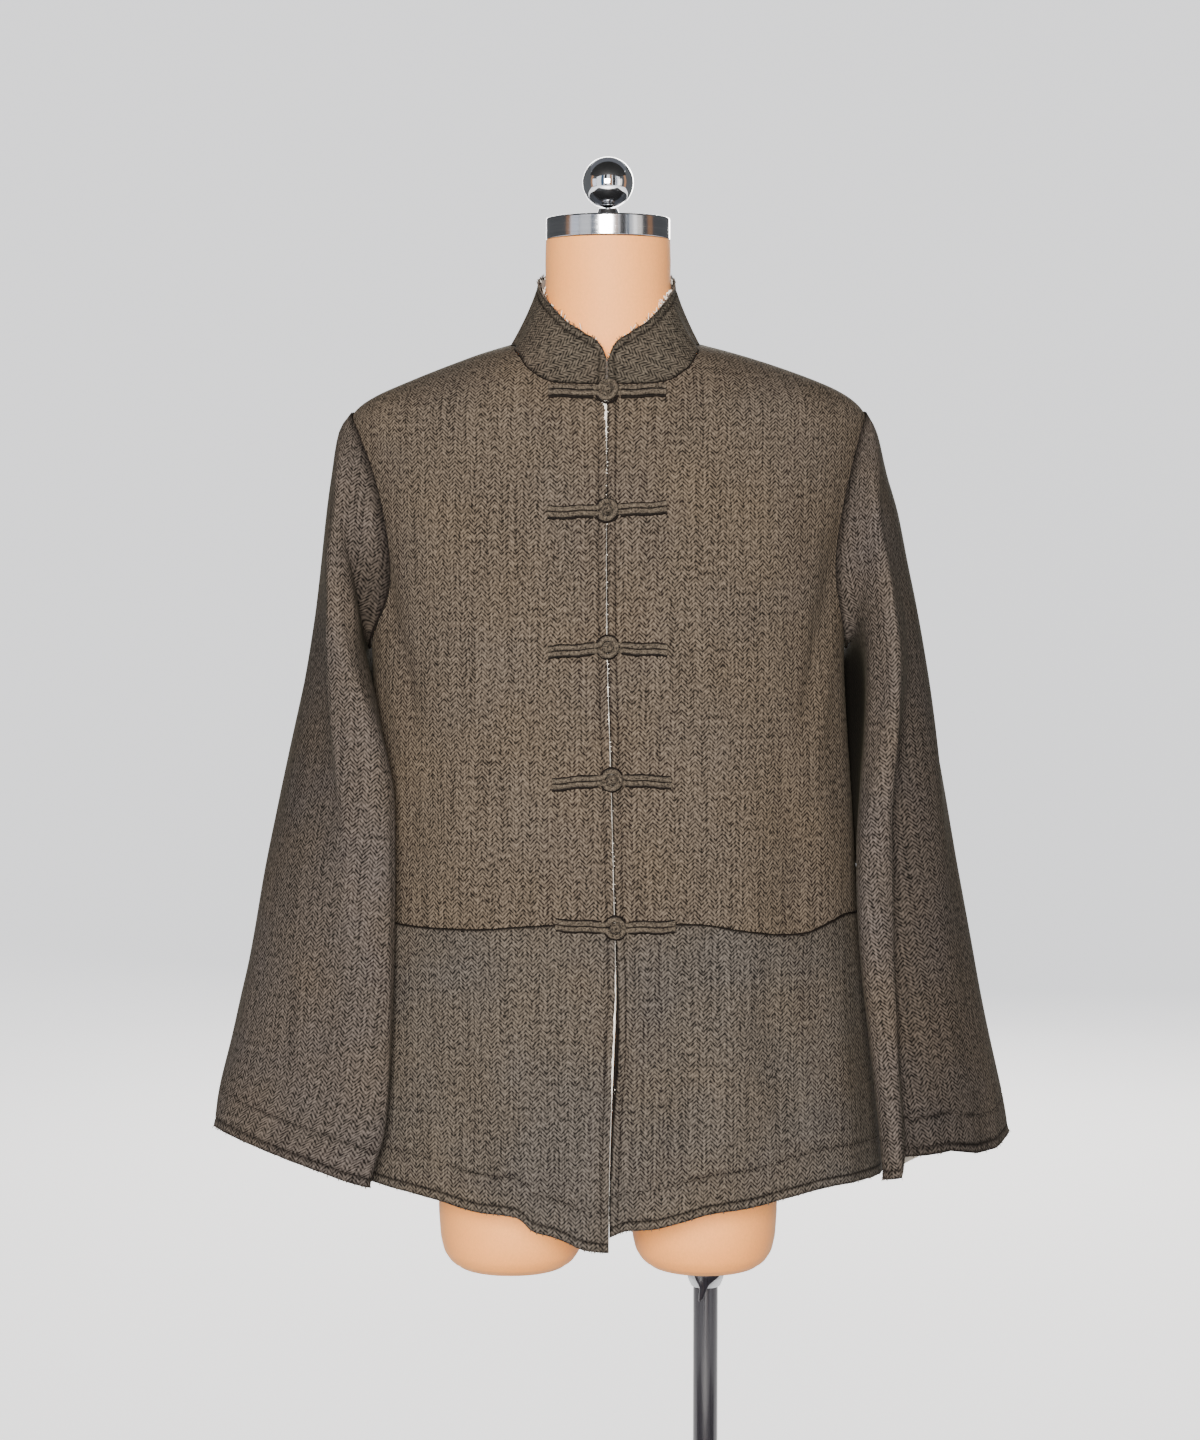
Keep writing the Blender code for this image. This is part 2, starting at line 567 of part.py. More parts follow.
def collar_grid():
    """Inner points of the collar from seam to rim, from the right front edge round the back to the left."""
    columns = []
    for sign in (-1, 1):
        half = []
        for spot, out in zip(*neckline(sign)):
            bottom = spot + LAID_GAP * direction(out)
            turn = math.degrees(math.atan2(max(0.0, sign * spot[0] - EDGE_REACH), -spot[1]))
            top = rim_point(sign, turn)
            bottom = bottom + COLLAR_STAND_OFF * direction(top - bottom)
            inward = -direction(np.array((top[0], top[1], 0.0)))
            rise = straight_at(COLLAR_CORNER, turn, "share") * np.linspace(0, 1, COLLAR_STEPS + 1)[:, None]
            half.append(bottom + (top - bottom) * rise + COLLAR_HOLLOW * 4 * rise * (1 - rise) * inward)
        columns += half if sign < 0 else half[-2::-1]
    return np.array(columns).transpose(1, 0, 2)


collar_inner = collar_grid()
collar_out = grid_facing(collar_inner)
collar_finish = material("wool_collar", COLLAR_OLIVE, WOOL_ROUGHNESS)
wall("collar", collar_inner + CLOTH * collar_out, collar_inner, collar_finish)


# ---------------------------------------------------------------- pockets
POCKET_MOUTH = dict(
    columns=("turn", "bulge", "sag"),
    rows=((0, 0.0, 0.0), (22, 0.0, 0.0), (34, 0.0016, 0.002), (52, 0.0030, 0.006), (68, 0.0022, 0.004),
          (80, 0.0, 0.0), (90, 0.0, 0.0)),
)
MOUTH_ROWS = 2  # the mouth's bulge fades out over this many rows below it


def pocket_panel(sign):
    """Inner points and outward directions of a pocket, on the lower rows of its front panel."""
    rows = 1 + len(SIDE_HEIGHTS[:SIDE_HEIGHTS.index(POCKET_HEIGHT) + 1])
    grid = front_turns_and_heights(sign)[:rows]
    inner = np.zeros((rows, FRONT_COLUMNS + 1, 3))
    out = np.zeros_like(inner)
    for r, row in enumerate(grid):
        for c, (turn, height) in enumerate(row):
            near_mouth = max(0.0, 1 - (rows - 1 - r) / MOUTH_ROWS)
            bulge = straight_at(POCKET_MOUTH, turn, "bulge") * near_mouth
            level = height - straight_at(POCKET_MOUTH, turn, "sag") * (r == rows - 1)
            around = shifted_from_centre(sign, turn, level)
            if abs(around) > SIDE_SEAM_TURN - NEAR_SEAM:
                around = seam_trim(around, level, -sign)
            out[r, c] = facing(body_point, around, level)
            inner[r, c] = body_point(around, level) + (LAID_GAP + bulge) * out[r, c]
    return inner, out


for side_name, side_sign in (("left", 1), ("right", -1)):
    inner, out = pocket_panel(side_sign)
    finish = material(f"wool_pocket_{side_name}", POCKET_OLIVE, WOOL_ROUGHNESS)
    wall(f"pocket_{side_name}", inner + CLOTH * out, inner, finish)


# ---------------------------------------------------------------- frog closures
CORD_RADIUS = 0.0021
CORD_SIDES = 6
KNOT_RADIUS = 0.0046
LOOP_RADIUS = KNOT_RADIUS + CORD_RADIUS + 0.0006
CORD_APART = 0.00015        # half of the gap between a closure's two cords
STRIP_LENGTH = 0.050
STRIP_SHARE = 0.76          # the straight cords take this share of it, and the end turns in the rest
STRIP_STEPS = 3
LOOP_STEPS = 10
KNOT_LIFT = 0.0062
POCKET_LIFT = CLOTH + LAID_GAP  # the lowest closure lies over the pockets' top edges
FROGS = dict(
    columns=("height", "loop_rise", "button_rise", "under"),
    rows=((1.4018, 0.0010, 0.0015, 0.0), (1.3010, -0.0015, 0.0030, 0.0), (1.1865, -0.0045, -0.0025, 0.0),
          (1.0745, -0.0040, -0.0020, 0.0), (0.9495, 0.0025, 0.0010, POCKET_LIFT)),
)


def on_front(x, height, lift):
    """A point this far off the front of the body, at this distance from the middle."""
    half_width, _, _, side_power, _, ring_shift = smooth_at(BODY_RINGS, height)
    share = (x - ring_shift) / half_width
    turn = math.degrees(math.asin(math.copysign(abs(share) ** (side_power / 2), share)))
    return body_point(turn, height) + lift * facing(body_point, turn, height)


def tube(path, radius, sides):
    """Points and faces of a round closed tube along a path of points."""
    path = np.array(path)
    along = np.gradient(path, axis=0)
    along /= np.linalg.norm(along, axis=1, keepdims=True)
    side = direction(np.cross(along[0], (0.0, 0.3, 1.0)))
    points = []
    for spot, ahead in zip(path, along):
        side = direction(side - ahead * side.dot(ahead))
        other = np.cross(ahead, side)
        for i in range(sides):
            angle = 2 * math.pi * i / sides
            points.append(spot + radius * (math.cos(angle) * side + math.sin(angle) * other))
    faces = grid_faces(len(path), sides, 0, True)
    faces.append(tuple(range(sides)))
    faces.append(tuple(len(points) - sides + i for i in range(sides)))
    return points, faces


def frog_path(sign, knot_height, rise, under, turn_steps):
    """A doubled cord's path: out along its strip, round its end, and back. Turn steps give the end."""
    lane = CORD_RADIUS + CORD_APART
    knot_x = smooth_at(CENTRE_FRONT, knot_height)[0]
    spots = [(STRIP_LENGTH * (1 - i / STRIP_STEPS * STRIP_SHARE), lane) for i in range(STRIP_STEPS + 1)]
    flat = [(along, aside, 0.0) for along, aside in spots]
    back = [(along, -aside, 0.0) for along, aside in reversed(spots)]
    path = []
    for along, aside, lift in flat + turn_steps + back:
        height = knot_height + aside + rise * max(0.0, along) / STRIP_LENGTH
        path.append(on_front(knot_x + sign * along, height, CORD_RADIUS + LAID_GAP + under + lift))
    return path


def loop_end():
    """The loop round the knot: low by its strip, and lifted over the button's cords on the far side."""
    climb = 2 * CORD_RADIUS + 0.0007
    steps = []
    for i in range(LOOP_STEPS + 1):
        angle = math.radians(24 + (360 - 48) * i / LOOP_STEPS)
        lift = climb * ((1 - math.cos(angle)) / 2) ** 1.3
        steps.append((LOOP_RADIUS * math.cos(angle), LOOP_RADIUS * math.sin(angle), lift))
    return steps


def button_end():
    """The button's cords turn back under the knot."""
    bend = CORD_RADIUS + 0.0003
    angles = [math.radians(degrees) for degrees in (90, 125, 157, 180, 203, 235, 270)]
    return [(bend * math.cos(angle), bend * math.sin(angle), 0.0) for angle in angles]


def add_knot(name, centre):
    """A round knot, joined to its cords by a Boolean."""
    mesh = bpy.data.meshes.new(name)
    shaped = bmesh.new()
    bmesh.ops.create_icosphere(shaped, subdivisions=2, radius=KNOT_RADIUS)
    shaped.to_mesh(mesh)
    shaped.free()
    made = bpy.data.objects.new(name, mesh)
    made.location = centre
    made.hide_render = True
    made.display_type = "WIRE"
    bpy.context.scene.collection.objects.link(made)
    return made


cord_finish = material("wool_cord", CORD_OLIVE, WOOL_ROUGHNESS)
for number, (knot_height, loop_rise, button_rise, under) in enumerate(FROGS["rows"], 1):
    points, faces = tube(frog_path(-1, knot_height, loop_rise, under, loop_end()), CORD_RADIUS, CORD_SIDES)
    add_object(f"frog_loop_{number}", points, faces, cord_finish, 60)
    points, faces = tube(frog_path(1, knot_height, button_rise, under, button_end()), CORD_RADIUS, CORD_SIDES)
    button = add_object(f"frog_button_{number}", points, faces, cord_finish, 60)
    knot_x = smooth_at(CENTRE_FRONT, knot_height)[0]
    knot = add_knot(f"knot_{number}_shape", on_front(knot_x, knot_height, KNOT_LIFT + under))
    union = button.modifiers.new("knot", "BOOLEAN")
    union.operation = "UNION"
    union.solver = "EXACT"
    union.object = knot


# ---------------------------------------------------------------- dress form
FORM_STEPS = 24
NECK_TOP = 1.5367
STUB_BOTTOM = 0.6250
STUB_PLACE = 0.0860         # from the middle to a stub's own middle
STUB_BEHIND = 0.0020
STUB_POWER = 2.2
FORM_RINGS = dict(
    columns=("height", "half_width", "front", "back", "side_power", "depth_power"),
    rows=(
        (0.715, 0.1200, 0.060, 0.066, 2.2, 2.2),
        (0.735, 0.1560, 0.082, 0.092, 2.2, 2.2),
        (0.780, 0.1700, 0.096, 0.104, 2.2, 2.2),
        (0.850, 0.1760, 0.101, 0.107, 2.2, 2.1),
        (0.930, 0.1680, 0.099, 0.100, 2.2, 2.1),
        (1.000, 0.1540, 0.095, 0.092, 2.2, 2.0),
        (1.060, 0.1480, 0.094, 0.088, 2.2, 2.0),
        (1.140, 0.1570, 0.103, 0.093, 2.2, 2.0),
        (1.220, 0.1700, 0.110, 0.101, 2.2, 1.9),
        (1.280, 0.1800, 0.109, 0.104, 2.2, 1.9),
        (1.330, 0.1870, 0.102, 0.101, 2.2, 1.8),
        (1.360, 0.1890, 0.093, 0.095, 2.2, 1.7),
        (1.380, 0.1860, 0.086, 0.088, 2.2, 1.6),
        (1.395, 0.1790, 0.080, 0.083, 2.1, 1.6),
        (1.4073, 0.1700, 0.0745, 0.078, 2.0, 1.6),
        (1.4178, 0.1560, 0.0690, 0.072, 1.9, 1.6),
        (1.4273, 0.1330, 0.0630, 0.067, 1.8, 1.6),
        (1.4357, 0.1095, 0.0580, 0.062, 1.7, 1.6),
        (1.4420, 0.0805, 0.0560, 0.060, 1.8, 1.8),
        (1.4530, 0.0648, 0.0555, 0.059, 2.0, 2.0),
        (1.4700, 0.0595, 0.0550, 0.057, 2.0, 2.0),
        (1.4950, 0.0552, 0.0548, 0.055, 2.0, 2.0),
        (1.5200, 0.0550, 0.0545, 0.0545, 2.0, 2.0),
        (NECK_TOP, 0.0545, 0.0545, 0.0545, 2.0, 2.0),
    ),
)
STUB_RINGS = dict(
    columns=("height", "half_width", "half_depth"),
    rows=(
        (STUB_BOTTOM, 0.0300, 0.0330),
        (0.6262, 0.0420, 0.0470),
        (0.6300, 0.0520, 0.0590),
        (0.6370, 0.0590, 0.0670),
        (0.6480, 0.0630, 0.0720),
        (0.6650, 0.0650, 0.0745),
        (0.7000, 0.0660, 0.0760),
        (0.7600, 0.0660, 0.0770),
    ),
)


def rounded(half_width, front, back, side_power, depth_power, centre, steps):
    """A level ring of points with its own depth in front and behind."""
    points = []
    for i in range(steps):
        angle = 2 * math.pi * i / steps
        across, ahead = math.sin(angle), math.cos(angle)
        depth = front if ahead > 0 else back
        points.append((
            centre[0] + half_width * math.copysign(abs(across) ** (2 / side_power), across),
            centre[1] - depth * math.copysign(abs(ahead) ** (2 / depth_power), ahead),
            centre[2],
        ))
    return points


def lofted(name, rings, finish, smooth_angle=40):
    """A closed solid through rings of equal count, bottom to top, with flat ends."""
    steps = len(rings[0])
    points = [point for ring in rings for point in ring]
    faces = grid_faces(len(rings), steps, 0, True)
    faces.append(tuple(range(steps)))
    faces.append(tuple(len(points) - steps + i for i in range(steps)))
    return add_object(name, points, faces, finish, smooth_angle)


form_finish = material("form_cloth", (0.765, 0.545, 0.375), 0.8)
form_rings = [rounded(*ring, (0.0, 0.0, height), FORM_STEPS) for height, *ring in FORM_RINGS["rows"]]
form_body = lofted("form_body", form_rings, form_finish)
for side_name, side_sign in (("left", 1), ("right", -1)):
    stub_rings = [
        rounded(half_width, half_depth, half_depth, STUB_POWER, STUB_POWER,
                (side_sign * STUB_PLACE, STUB_BEHIND, height), FORM_STEPS)
        for height, half_width, half_depth in STUB_RINGS["rows"]
    ]
    stub = lofted(f"stub_{side_name}_shape", stub_rings, form_finish)
    stub.hide_render = True
    stub.display_type = "WIRE"
    joined = form_body.modifiers.new(f"stub_{side_name}", "BOOLEAN")
    joined.operation = "UNION"
    joined.solver = "EXACT"
    joined.object = stub


# ---------------------------------------------------------------- turned metal pieces
TURN_STEPS = 32
SMALL_TURN_STEPS = 20
BASE_STEPS = 40
BALL_STEPS = 12
BALL_POLE = 0.0012          # the ball's top and bottom are flat for this radius
CAP_RADIUS = 0.0543
CAP_TOP = 1.5560
BALL_RADIUS = 0.0224
BALL_HEIGHT = 1.5870
POLE_RADIUS = 0.0112
POLE_ASIDE = 0.0020         # the pole stands this far outside its stub's middle
SOCKET_RADIUS = 0.0164
SOCKET_BOTTOM = 0.6045
BASE_RADIUS = 0.200
BASE_THICKNESS = 0.010


def turned(name, profile, centre, finish, steps=TURN_STEPS, smooth_angle=40):
    """A solid turned round an upright axis. The profile is (radius, height) from bottom to top."""
    rings = [rounded(radius, radius, radius, 2, 2, (*centre, height), steps) for radius, height in profile]
    return lofted(name, rings, finish, smooth_angle)


def ring_solid(name, profile, centre, finish, steps=TURN_STEPS):
    """A ring turned round an upright axis from a closed profile of (radius, height)."""
    points = []
    for radius, height in profile:
        points += rounded(radius, radius, radius, 2, 2, (*centre, height), steps)
    faces = grid_faces(len(profile), steps, 0, True)
    last = (len(profile) - 1) * steps
    faces += [(last + i, last + (i + 1) % steps, (i + 1) % steps, i) for i in range(steps)]
    return add_object(name, points, faces, finish)


brushed_steel = material("brushed_steel", (0.62, 0.63, 0.65), 0.3, 1.0)
chrome = material("chrome", (0.80, 0.81, 0.83), 0.05, 1.0)
black_steel = material("black_steel", (0.02, 0.02, 0.022), 0.35, 0.6)
cast_alloy = material("cast_alloy", (0.55, 0.56, 0.57), 0.4, 0.9)

cap_bottom = NECK_TOP + SEAM_GAP
cap_profile = (
    (CAP_RADIUS - 0.0008, cap_bottom),
    (CAP_RADIUS, cap_bottom + 0.0008),
    (CAP_RADIUS, CAP_TOP - 0.0012),
    (CAP_RADIUS - 0.0012, CAP_TOP),
)
turned("neck_cap", cap_profile, (0, 0), brushed_steel)
ring_bottom = CAP_TOP + SEAM_GAP
ring_top = BALL_HEIGHT - BALL_RADIUS - SEAM_GAP
ring_profile = (
    (0.0097, ring_bottom),
    (0.0100, ring_bottom + 0.001),
    (0.0092, ring_top - 0.001),
    (0.0086, ring_top),
)
turned("finial_ring", ring_profile, (0, 0), chrome, SMALL_TURN_STEPS)
ball_profile = []
for i in range(BALL_STEPS + 1):
    angle = math.pi * i / BALL_STEPS
    ball_ring = max(BALL_POLE, BALL_RADIUS * math.sin(angle))
    ball_profile.append((ball_ring, BALL_HEIGHT - BALL_RADIUS * math.cos(angle)))
turned("finial_ball", ball_profile, (0, 0), chrome, SMALL_TURN_STEPS, 60)

pole_at = (STUB_PLACE + POLE_ASIDE, STUB_BEHIND)
socket_top = STUB_BOTTOM - SEAM_GAP
socket_profile = (
    (SOCKET_RADIUS - 0.0036, SOCKET_BOTTOM),
    (SOCKET_RADIUS - 0.0014, SOCKET_BOTTOM + 0.004),
    (SOCKET_RADIUS, socket_top - 0.010),
    (SOCKET_RADIUS, socket_top),
)
turned("pole_socket", socket_profile, pole_at, cast_alloy, SMALL_TURN_STEPS)
pole_bottom = BASE_THICKNESS + SEAM_GAP
pole_profile = ((POLE_RADIUS, pole_bottom), (POLE_RADIUS, SOCKET_BOTTOM - SEAM_GAP))
turned("pole", pole_profile, pole_at, black_steel, SMALL_TURN_STEPS)
foot_profile = (
    (POLE_RADIUS + SEAM_GAP, pole_bottom),
    (0.0230, pole_bottom),
    (0.0215, 0.0200),
    (0.0170, 0.0310),
    (POLE_RADIUS + SEAM_GAP, 0.0330),
)
ring_solid("pole_foot", foot_profile, pole_at, black_steel, SMALL_TURN_STEPS)
base_profile = (
    (BASE_RADIUS - 0.001, 0.0),
    (BASE_RADIUS, 0.001),
    (BASE_RADIUS, BASE_THICKNESS - 0.003),
    (BASE_RADIUS - 0.003, BASE_THICKNESS),
)
turned("base", base_profile, (0, 0), black_steel, BASE_STEPS)


# ---------------------------------------------------------------- the pole's clamp lever
LEVER_THICKNESS = 0.0040
LEVER_HEIGHT = 0.6035       # height of the outline's zero
LEVER_OUTLINE = dict(
    columns=("aside", "up"),
    rows=((-0.0095, 0.0200), (0.0100, 0.0205), (0.0125, 0.0150), (0.0020, 0.0060), (-0.0035, -0.0080),
          (-0.0070, -0.0090), (-0.0060, 0.0040), (-0.0110, 0.0140)),
)
lever_front = pole_at[1] - SOCKET_RADIUS - SEAM_GAP - LEVER_THICKNESS
lever_points = [
    (pole_at[0] + aside, lever_front + depth, LEVER_HEIGHT + up)
    for depth in (0.0, LEVER_THICKNESS)
    for aside, up in LEVER_OUTLINE["rows"]
]
corners = len(LEVER_OUTLINE["rows"])
lever_faces = [tuple(range(corners)), tuple(range(2 * corners - 1, corners - 1, -1))]
lever_faces += [(i, (i + 1) % corners, corners + (i + 1) % corners, corners + i) for i in range(corners)]
add_object("pole_lever", lever_points, lever_faces, black_steel)

for made in bpy.context.scene.objects:
    made.location.x += WHOLE_SHIFT
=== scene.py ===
"""A tang jacket of herringbone wool, worn by a limbless dress form on a pole stand."""

import math
import random

import bpy
import numpy as np
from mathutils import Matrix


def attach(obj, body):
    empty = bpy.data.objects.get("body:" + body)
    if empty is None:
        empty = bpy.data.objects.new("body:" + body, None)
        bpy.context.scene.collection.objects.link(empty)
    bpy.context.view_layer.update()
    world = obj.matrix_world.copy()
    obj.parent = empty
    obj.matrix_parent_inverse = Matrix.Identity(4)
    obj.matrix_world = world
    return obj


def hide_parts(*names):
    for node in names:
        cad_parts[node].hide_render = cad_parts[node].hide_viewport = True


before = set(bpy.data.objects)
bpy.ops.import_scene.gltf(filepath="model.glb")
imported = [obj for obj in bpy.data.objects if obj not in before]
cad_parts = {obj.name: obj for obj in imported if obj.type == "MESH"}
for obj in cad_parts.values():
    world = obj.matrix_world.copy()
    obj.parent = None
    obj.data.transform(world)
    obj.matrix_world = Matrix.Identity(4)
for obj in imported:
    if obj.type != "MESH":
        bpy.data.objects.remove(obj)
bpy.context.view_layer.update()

# ---------------------------------------------------------------- base plate
# A round steel plate with a softened rim, powder-coated satin black. Its weight keeps the form upright,
# and the pole's foot is bolted to it from below.
CENTRE_SHIFT = -0.0060     # the sleeves hang unevenly, so everything stands this far to one side
BASE_RADIUS = 0.200
BASE_THICKNESS = 0.010
BASE_ROUNDING = 0.0028     # how far from its corner the rim starts to turn
AXIS = 0.001               # the small radius round which a turned piece's ends close
SEAT = 0.0003              # between two pieces that touch


def linear(hex_colour):
    """An sRGB hex colour as linear red, green, blue and alpha."""
    parts = [int(hex_colour[i:i + 2], 16) / 255 for i in (1, 3, 5)]
    return [part / 12.92 if part <= 0.04045 else ((part + 0.055) / 1.055) ** 2.4 for part in parts] + [1.0]


def wire(made, links):
    """Links these outputs to a node's inputs."""
    for place, output in links.items():
        made.id_data.links.new(output, made.inputs[place])


def node(tree, kind, settings=None, values=None, links=None):
    """Adds one shader node with its settings, the values of its inputs and the outputs linked to them.

    An input goes by its name, or by its number where the names are shared or long."""
    made = tree.nodes.new("ShaderNode" + kind)
    for name, value in (settings or {}).items():
        setattr(made, name, value)
    for place, value in (values or {}).items():
        made.inputs[place].default_value = value
    wire(made, links or {})
    return made


def finish(name, values):
    """A new material, its node tree and its surface shader with these values on the shader's sockets."""
    made = bpy.data.materials.new(name)
    made.use_nodes = True
    shader = made.node_tree.nodes["Principled BSDF"]
    for socket, value in values.items():
        shader.inputs[socket].default_value = value
    return made, made.node_tree, shader


def add_piece(name, points, faces, materials, sharp=50):
    """A mesh object from points and faces, moved to where the whole stands and shaded smooth."""
    mesh = bpy.data.meshes.new(name)
    places = np.asarray(points, float) + (CENTRE_SHIFT, 0.0, 0.0)
    mesh.from_pydata(places.tolist(), [], faces)
    mesh.shade_smooth()
    mesh.set_sharp_from_angle(angle=math.radians(sharp))
    for material in materials:
        mesh.materials.append(material)
    made = bpy.data.objects.new(name, mesh)
    bpy.context.scene.collection.objects.link(made)
    return made


def ring_faces(rings, steps, start=0):
    """Quads between rings of points that are numbered one ring after another, facing out."""
    faces = []
    for r in range(rings - 1):
        for c in range(steps):
            here, above = start + r * steps, start + (r + 1) * steps
            after = (c + 1) % steps
            faces.append((here + c, here + after, above + after, above + c))
    return faces


def capped_faces(rings, steps, start=0):
    """The quads between rings of points, and a flat face over each end."""
    last = start + (rings - 1) * steps
    ends = [tuple(start + i for i in range(steps))[::-1], tuple(last + i for i in range(steps))]
    return ring_faces(rings, steps, start) + ends


def softened(profile, reach, steps=5):
    """A profile of (radius, height) with each corner rounded off, starting this far from the corner."""
    spots = [np.array(spot, float) for spot in profile]
    made = [spots[0]]
    for before, corner, after in zip(spots, spots[1:], spots[2:]):
        start = corner + (before - corner) * min(0.5, reach / np.linalg.norm(before - corner))
        end = corner + (after - corner) * min(0.5, reach / np.linalg.norm(after - corner))
        for i in range(steps + 1):
            t = i / steps
            made.append((1 - t) ** 2 * start + 2 * t * (1 - t) * corner + t * t * end)
    made.append(spots[-1])
    return made


def turned(name, profile, centre, steps, material, hollow=False):
    """A piece turned round an upright axis from (radius, height), bottom to top.

    A hollow one has a closed profile instead, with its last spot joined to its first."""
    turns = 2 * np.pi * np.arange(steps) / steps
    across, ahead = np.sin(turns), np.cos(turns)
    rings = [
        np.stack((centre[0] + radius * across, centre[1] - radius * ahead, turns * 0 + height), 1)
        for radius, height in profile
    ]
    faces = capped_faces(len(profile), steps)
    if hollow:
        last = (len(profile) - 1) * steps
        faces[-2:] = [(last + i, last + (i + 1) % steps, (i + 1) % steps, i) for i in range(steps)]
    return add_piece(name, np.concatenate(rings), faces, [material], 40)


# Powder-coated steel: sprayed as dry powder and baked, which leaves a satin skin with a fine orange peel.
powder_coat, tree, shader = finish("powder_coated_steel", {"Metallic": 0.0, "IOR": 1.5})
place = node(tree, "TexCoord").outputs["Object"]
PEEL = 1 / 0.0016          # one bump of the orange peel every 1.6 mm
peel = node(tree, "TexNoise", values={"Scale": PEEL, "Detail": 2.0}, links={"Vector": place})
smears = node(tree, "TexNoise", values={"Scale": 9.0, "Detail": 4.0}, links={"Vector": place})
gloss = node(tree, "MapRange", values={1: 0.3, 2: 0.7, 3: 0.34, 4: 0.50}, links={0: smears.outputs["Fac"]})
dust = node(tree, "ValToRGB", links={0: smears.outputs["Fac"]})
dust.color_ramp.elements[0].color = linear("#1b1b1d")
dust.color_ramp.elements[1].color = linear("#2a292a")
bumps = node(tree, "Bump", values={"Strength": 0.35, "Distance": 0.0002},
             links={"Height": peel.outputs["Fac"]})
wire(shader, {"Base Color": dust.outputs[0], "Roughness": gloss.outputs[0], "Normal": bumps.outputs[0]})

base_profile = softened(
    ((AXIS, 0.0), (BASE_RADIUS, 0.0), (BASE_RADIUS, BASE_THICKNESS), (AXIS, BASE_THICKNESS)), BASE_ROUNDING, 8
)
base_plate = turned("base_plate", base_profile, (0.0, 0.0), 160, powder_coat)
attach(base_plate, "root")
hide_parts("base")

# ---------------------------------------------------------------- pole, foot, socket and lever
# A black lacquered steel tube stands in a spun foot on the base. At its top a die-cast alloy socket is
# screwed into the form's wooden end plate, and a pressed steel lever clamps the tube in it.
POLE_RADIUS = 0.0112
POLE_AT = (0.0880, 0.0020)
SOCKET_RADIUS = 0.0164
SOCKET_BOTTOM = 0.6045
STUB_BOTTOM = 0.6250

# Lacquered steel: stoved gloss enamel, smooth, with a faint drawn texture along the tube.
gloss_lacquer, tree, shader = finish(
    "gloss_lacquered_steel", {"Metallic": 0.0, "IOR": 1.52, "Coat Weight": 0.4, "Coat Roughness": 0.08}
)
place = node(tree, "TexCoord").outputs["Object"]
drawn = node(tree, "Mapping", values={"Scale": (900.0, 900.0, 12.0)}, links={"Vector": place})
lines = node(tree, "TexNoise", values={"Scale": 1.0, "Detail": 2.0}, links={"Vector": drawn.outputs[0]})
shine = node(tree, "MapRange", values={1: 0.3, 2: 0.7, 3: 0.16, 4: 0.28}, links={0: lines.outputs["Fac"]})
depth = node(tree, "ValToRGB", links={0: lines.outputs["Fac"]})
depth.color_ramp.elements[0].color = linear("#141317")
depth.color_ramp.elements[1].color = linear("#211f25")
wire(shader, {"Base Color": depth.outputs[0], "Roughness": shine.outputs[0]})

pole_bottom, pole_top = BASE_THICKNESS + SEAT, SOCKET_BOTTOM - SEAT
pole_profile = softened(
    ((AXIS, pole_bottom), (POLE_RADIUS, pole_bottom), (POLE_RADIUS, pole_top), (AXIS, pole_top)), 0.0006, 3
)
pole_tube = turned("pole_tube", pole_profile, POLE_AT, 64, gloss_lacquer)
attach(pole_tube, "root")
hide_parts("pole")

foot_inside = POLE_RADIUS + SEAT
foot_profile = softened(
    ((foot_inside, 0.0330), (foot_inside, pole_bottom), (0.0230, pole_bottom), (0.0221, 0.0165),
     (0.0180, 0.0265), (0.0148, 0.0330), (foot_inside, 0.0330)), 0.0012, 4
)
pole_collar = turned("pole_foot_flange", foot_profile[:-1], POLE_AT, 64, powder_coat, hollow=True)
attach(pole_collar, "root")
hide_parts("pole_foot")

# Die-cast zinc alloy: a dull pale grey metal skin with a fine pebbled grain from the mould.
cast_zinc, tree, shader = finish("die_cast_zinc", {"Metallic": 1.0})
place = node(tree, "TexCoord").outputs["Object"]
grain = node(tree, "TexNoise", values={"Scale": 1 / 0.0009, "Detail": 3.0}, links={"Vector": place})
tone = node(tree, "ValToRGB", links={0: grain.outputs["Fac"]})
tone.color_ramp.elements[0].color = linear("#a3a5a8")
tone.color_ramp.elements[1].color = linear("#c9cbcd")
dull = node(tree, "MapRange", values={1: 0.3, 2: 0.7, 3: 0.38, 4: 0.55}, links={0: grain.outputs["Fac"]})
pebbles = node(tree, "Bump", values={"Strength": 0.4, "Distance": 0.0002},
               links={"Height": grain.outputs["Fac"]})
wire(shader, {"Base Color": tone.outputs[0], "Roughness": dull.outputs[0], "Normal": pebbles.outputs[0]})

socket_top = STUB_BOTTOM - SEAT
socket_profile = softened(
    ((AXIS, SOCKET_BOTTOM), (SOCKET_RADIUS - 0.0036, SOCKET_BOTTOM),
     (SOCKET_RADIUS - 0.0012, SOCKET_BOTTOM + 0.0050), (SOCKET_RADIUS, SOCKET_BOTTOM + 0.0085),
     (SOCKET_RADIUS, socket_top), (AXIS, socket_top)), 0.0010, 4
)
pole_socket = turned("pole_socket_casting", socket_profile, POLE_AT, 72, cast_zinc)
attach(pole_socket, "root")
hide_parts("pole_socket")

LEVER_THICKNESS = 0.0040
LEVER_HEIGHT = 0.6035
# The lever's corners from its own place on the pole's axis: aside, up
LEVER_OUTLINE = (
    (-0.0095, 0.02), (0.01, 0.0205), (0.0125, 0.015), (0.002, 0.006), (-0.0035, -0.008), (-0.007, -0.009),
    (-0.006, 0.004), (-0.011, 0.014),
)
LEVER_ROUNDING = 0.0022
# How its pressed edges draw in, from its front face to its back: depth_share, width_share
LEVER_EDGES = ((0.0, 0.9), (0.12, 0.97), (0.30, 1.0), (0.70, 1.0), (0.88, 0.97), (1.0, 0.9))

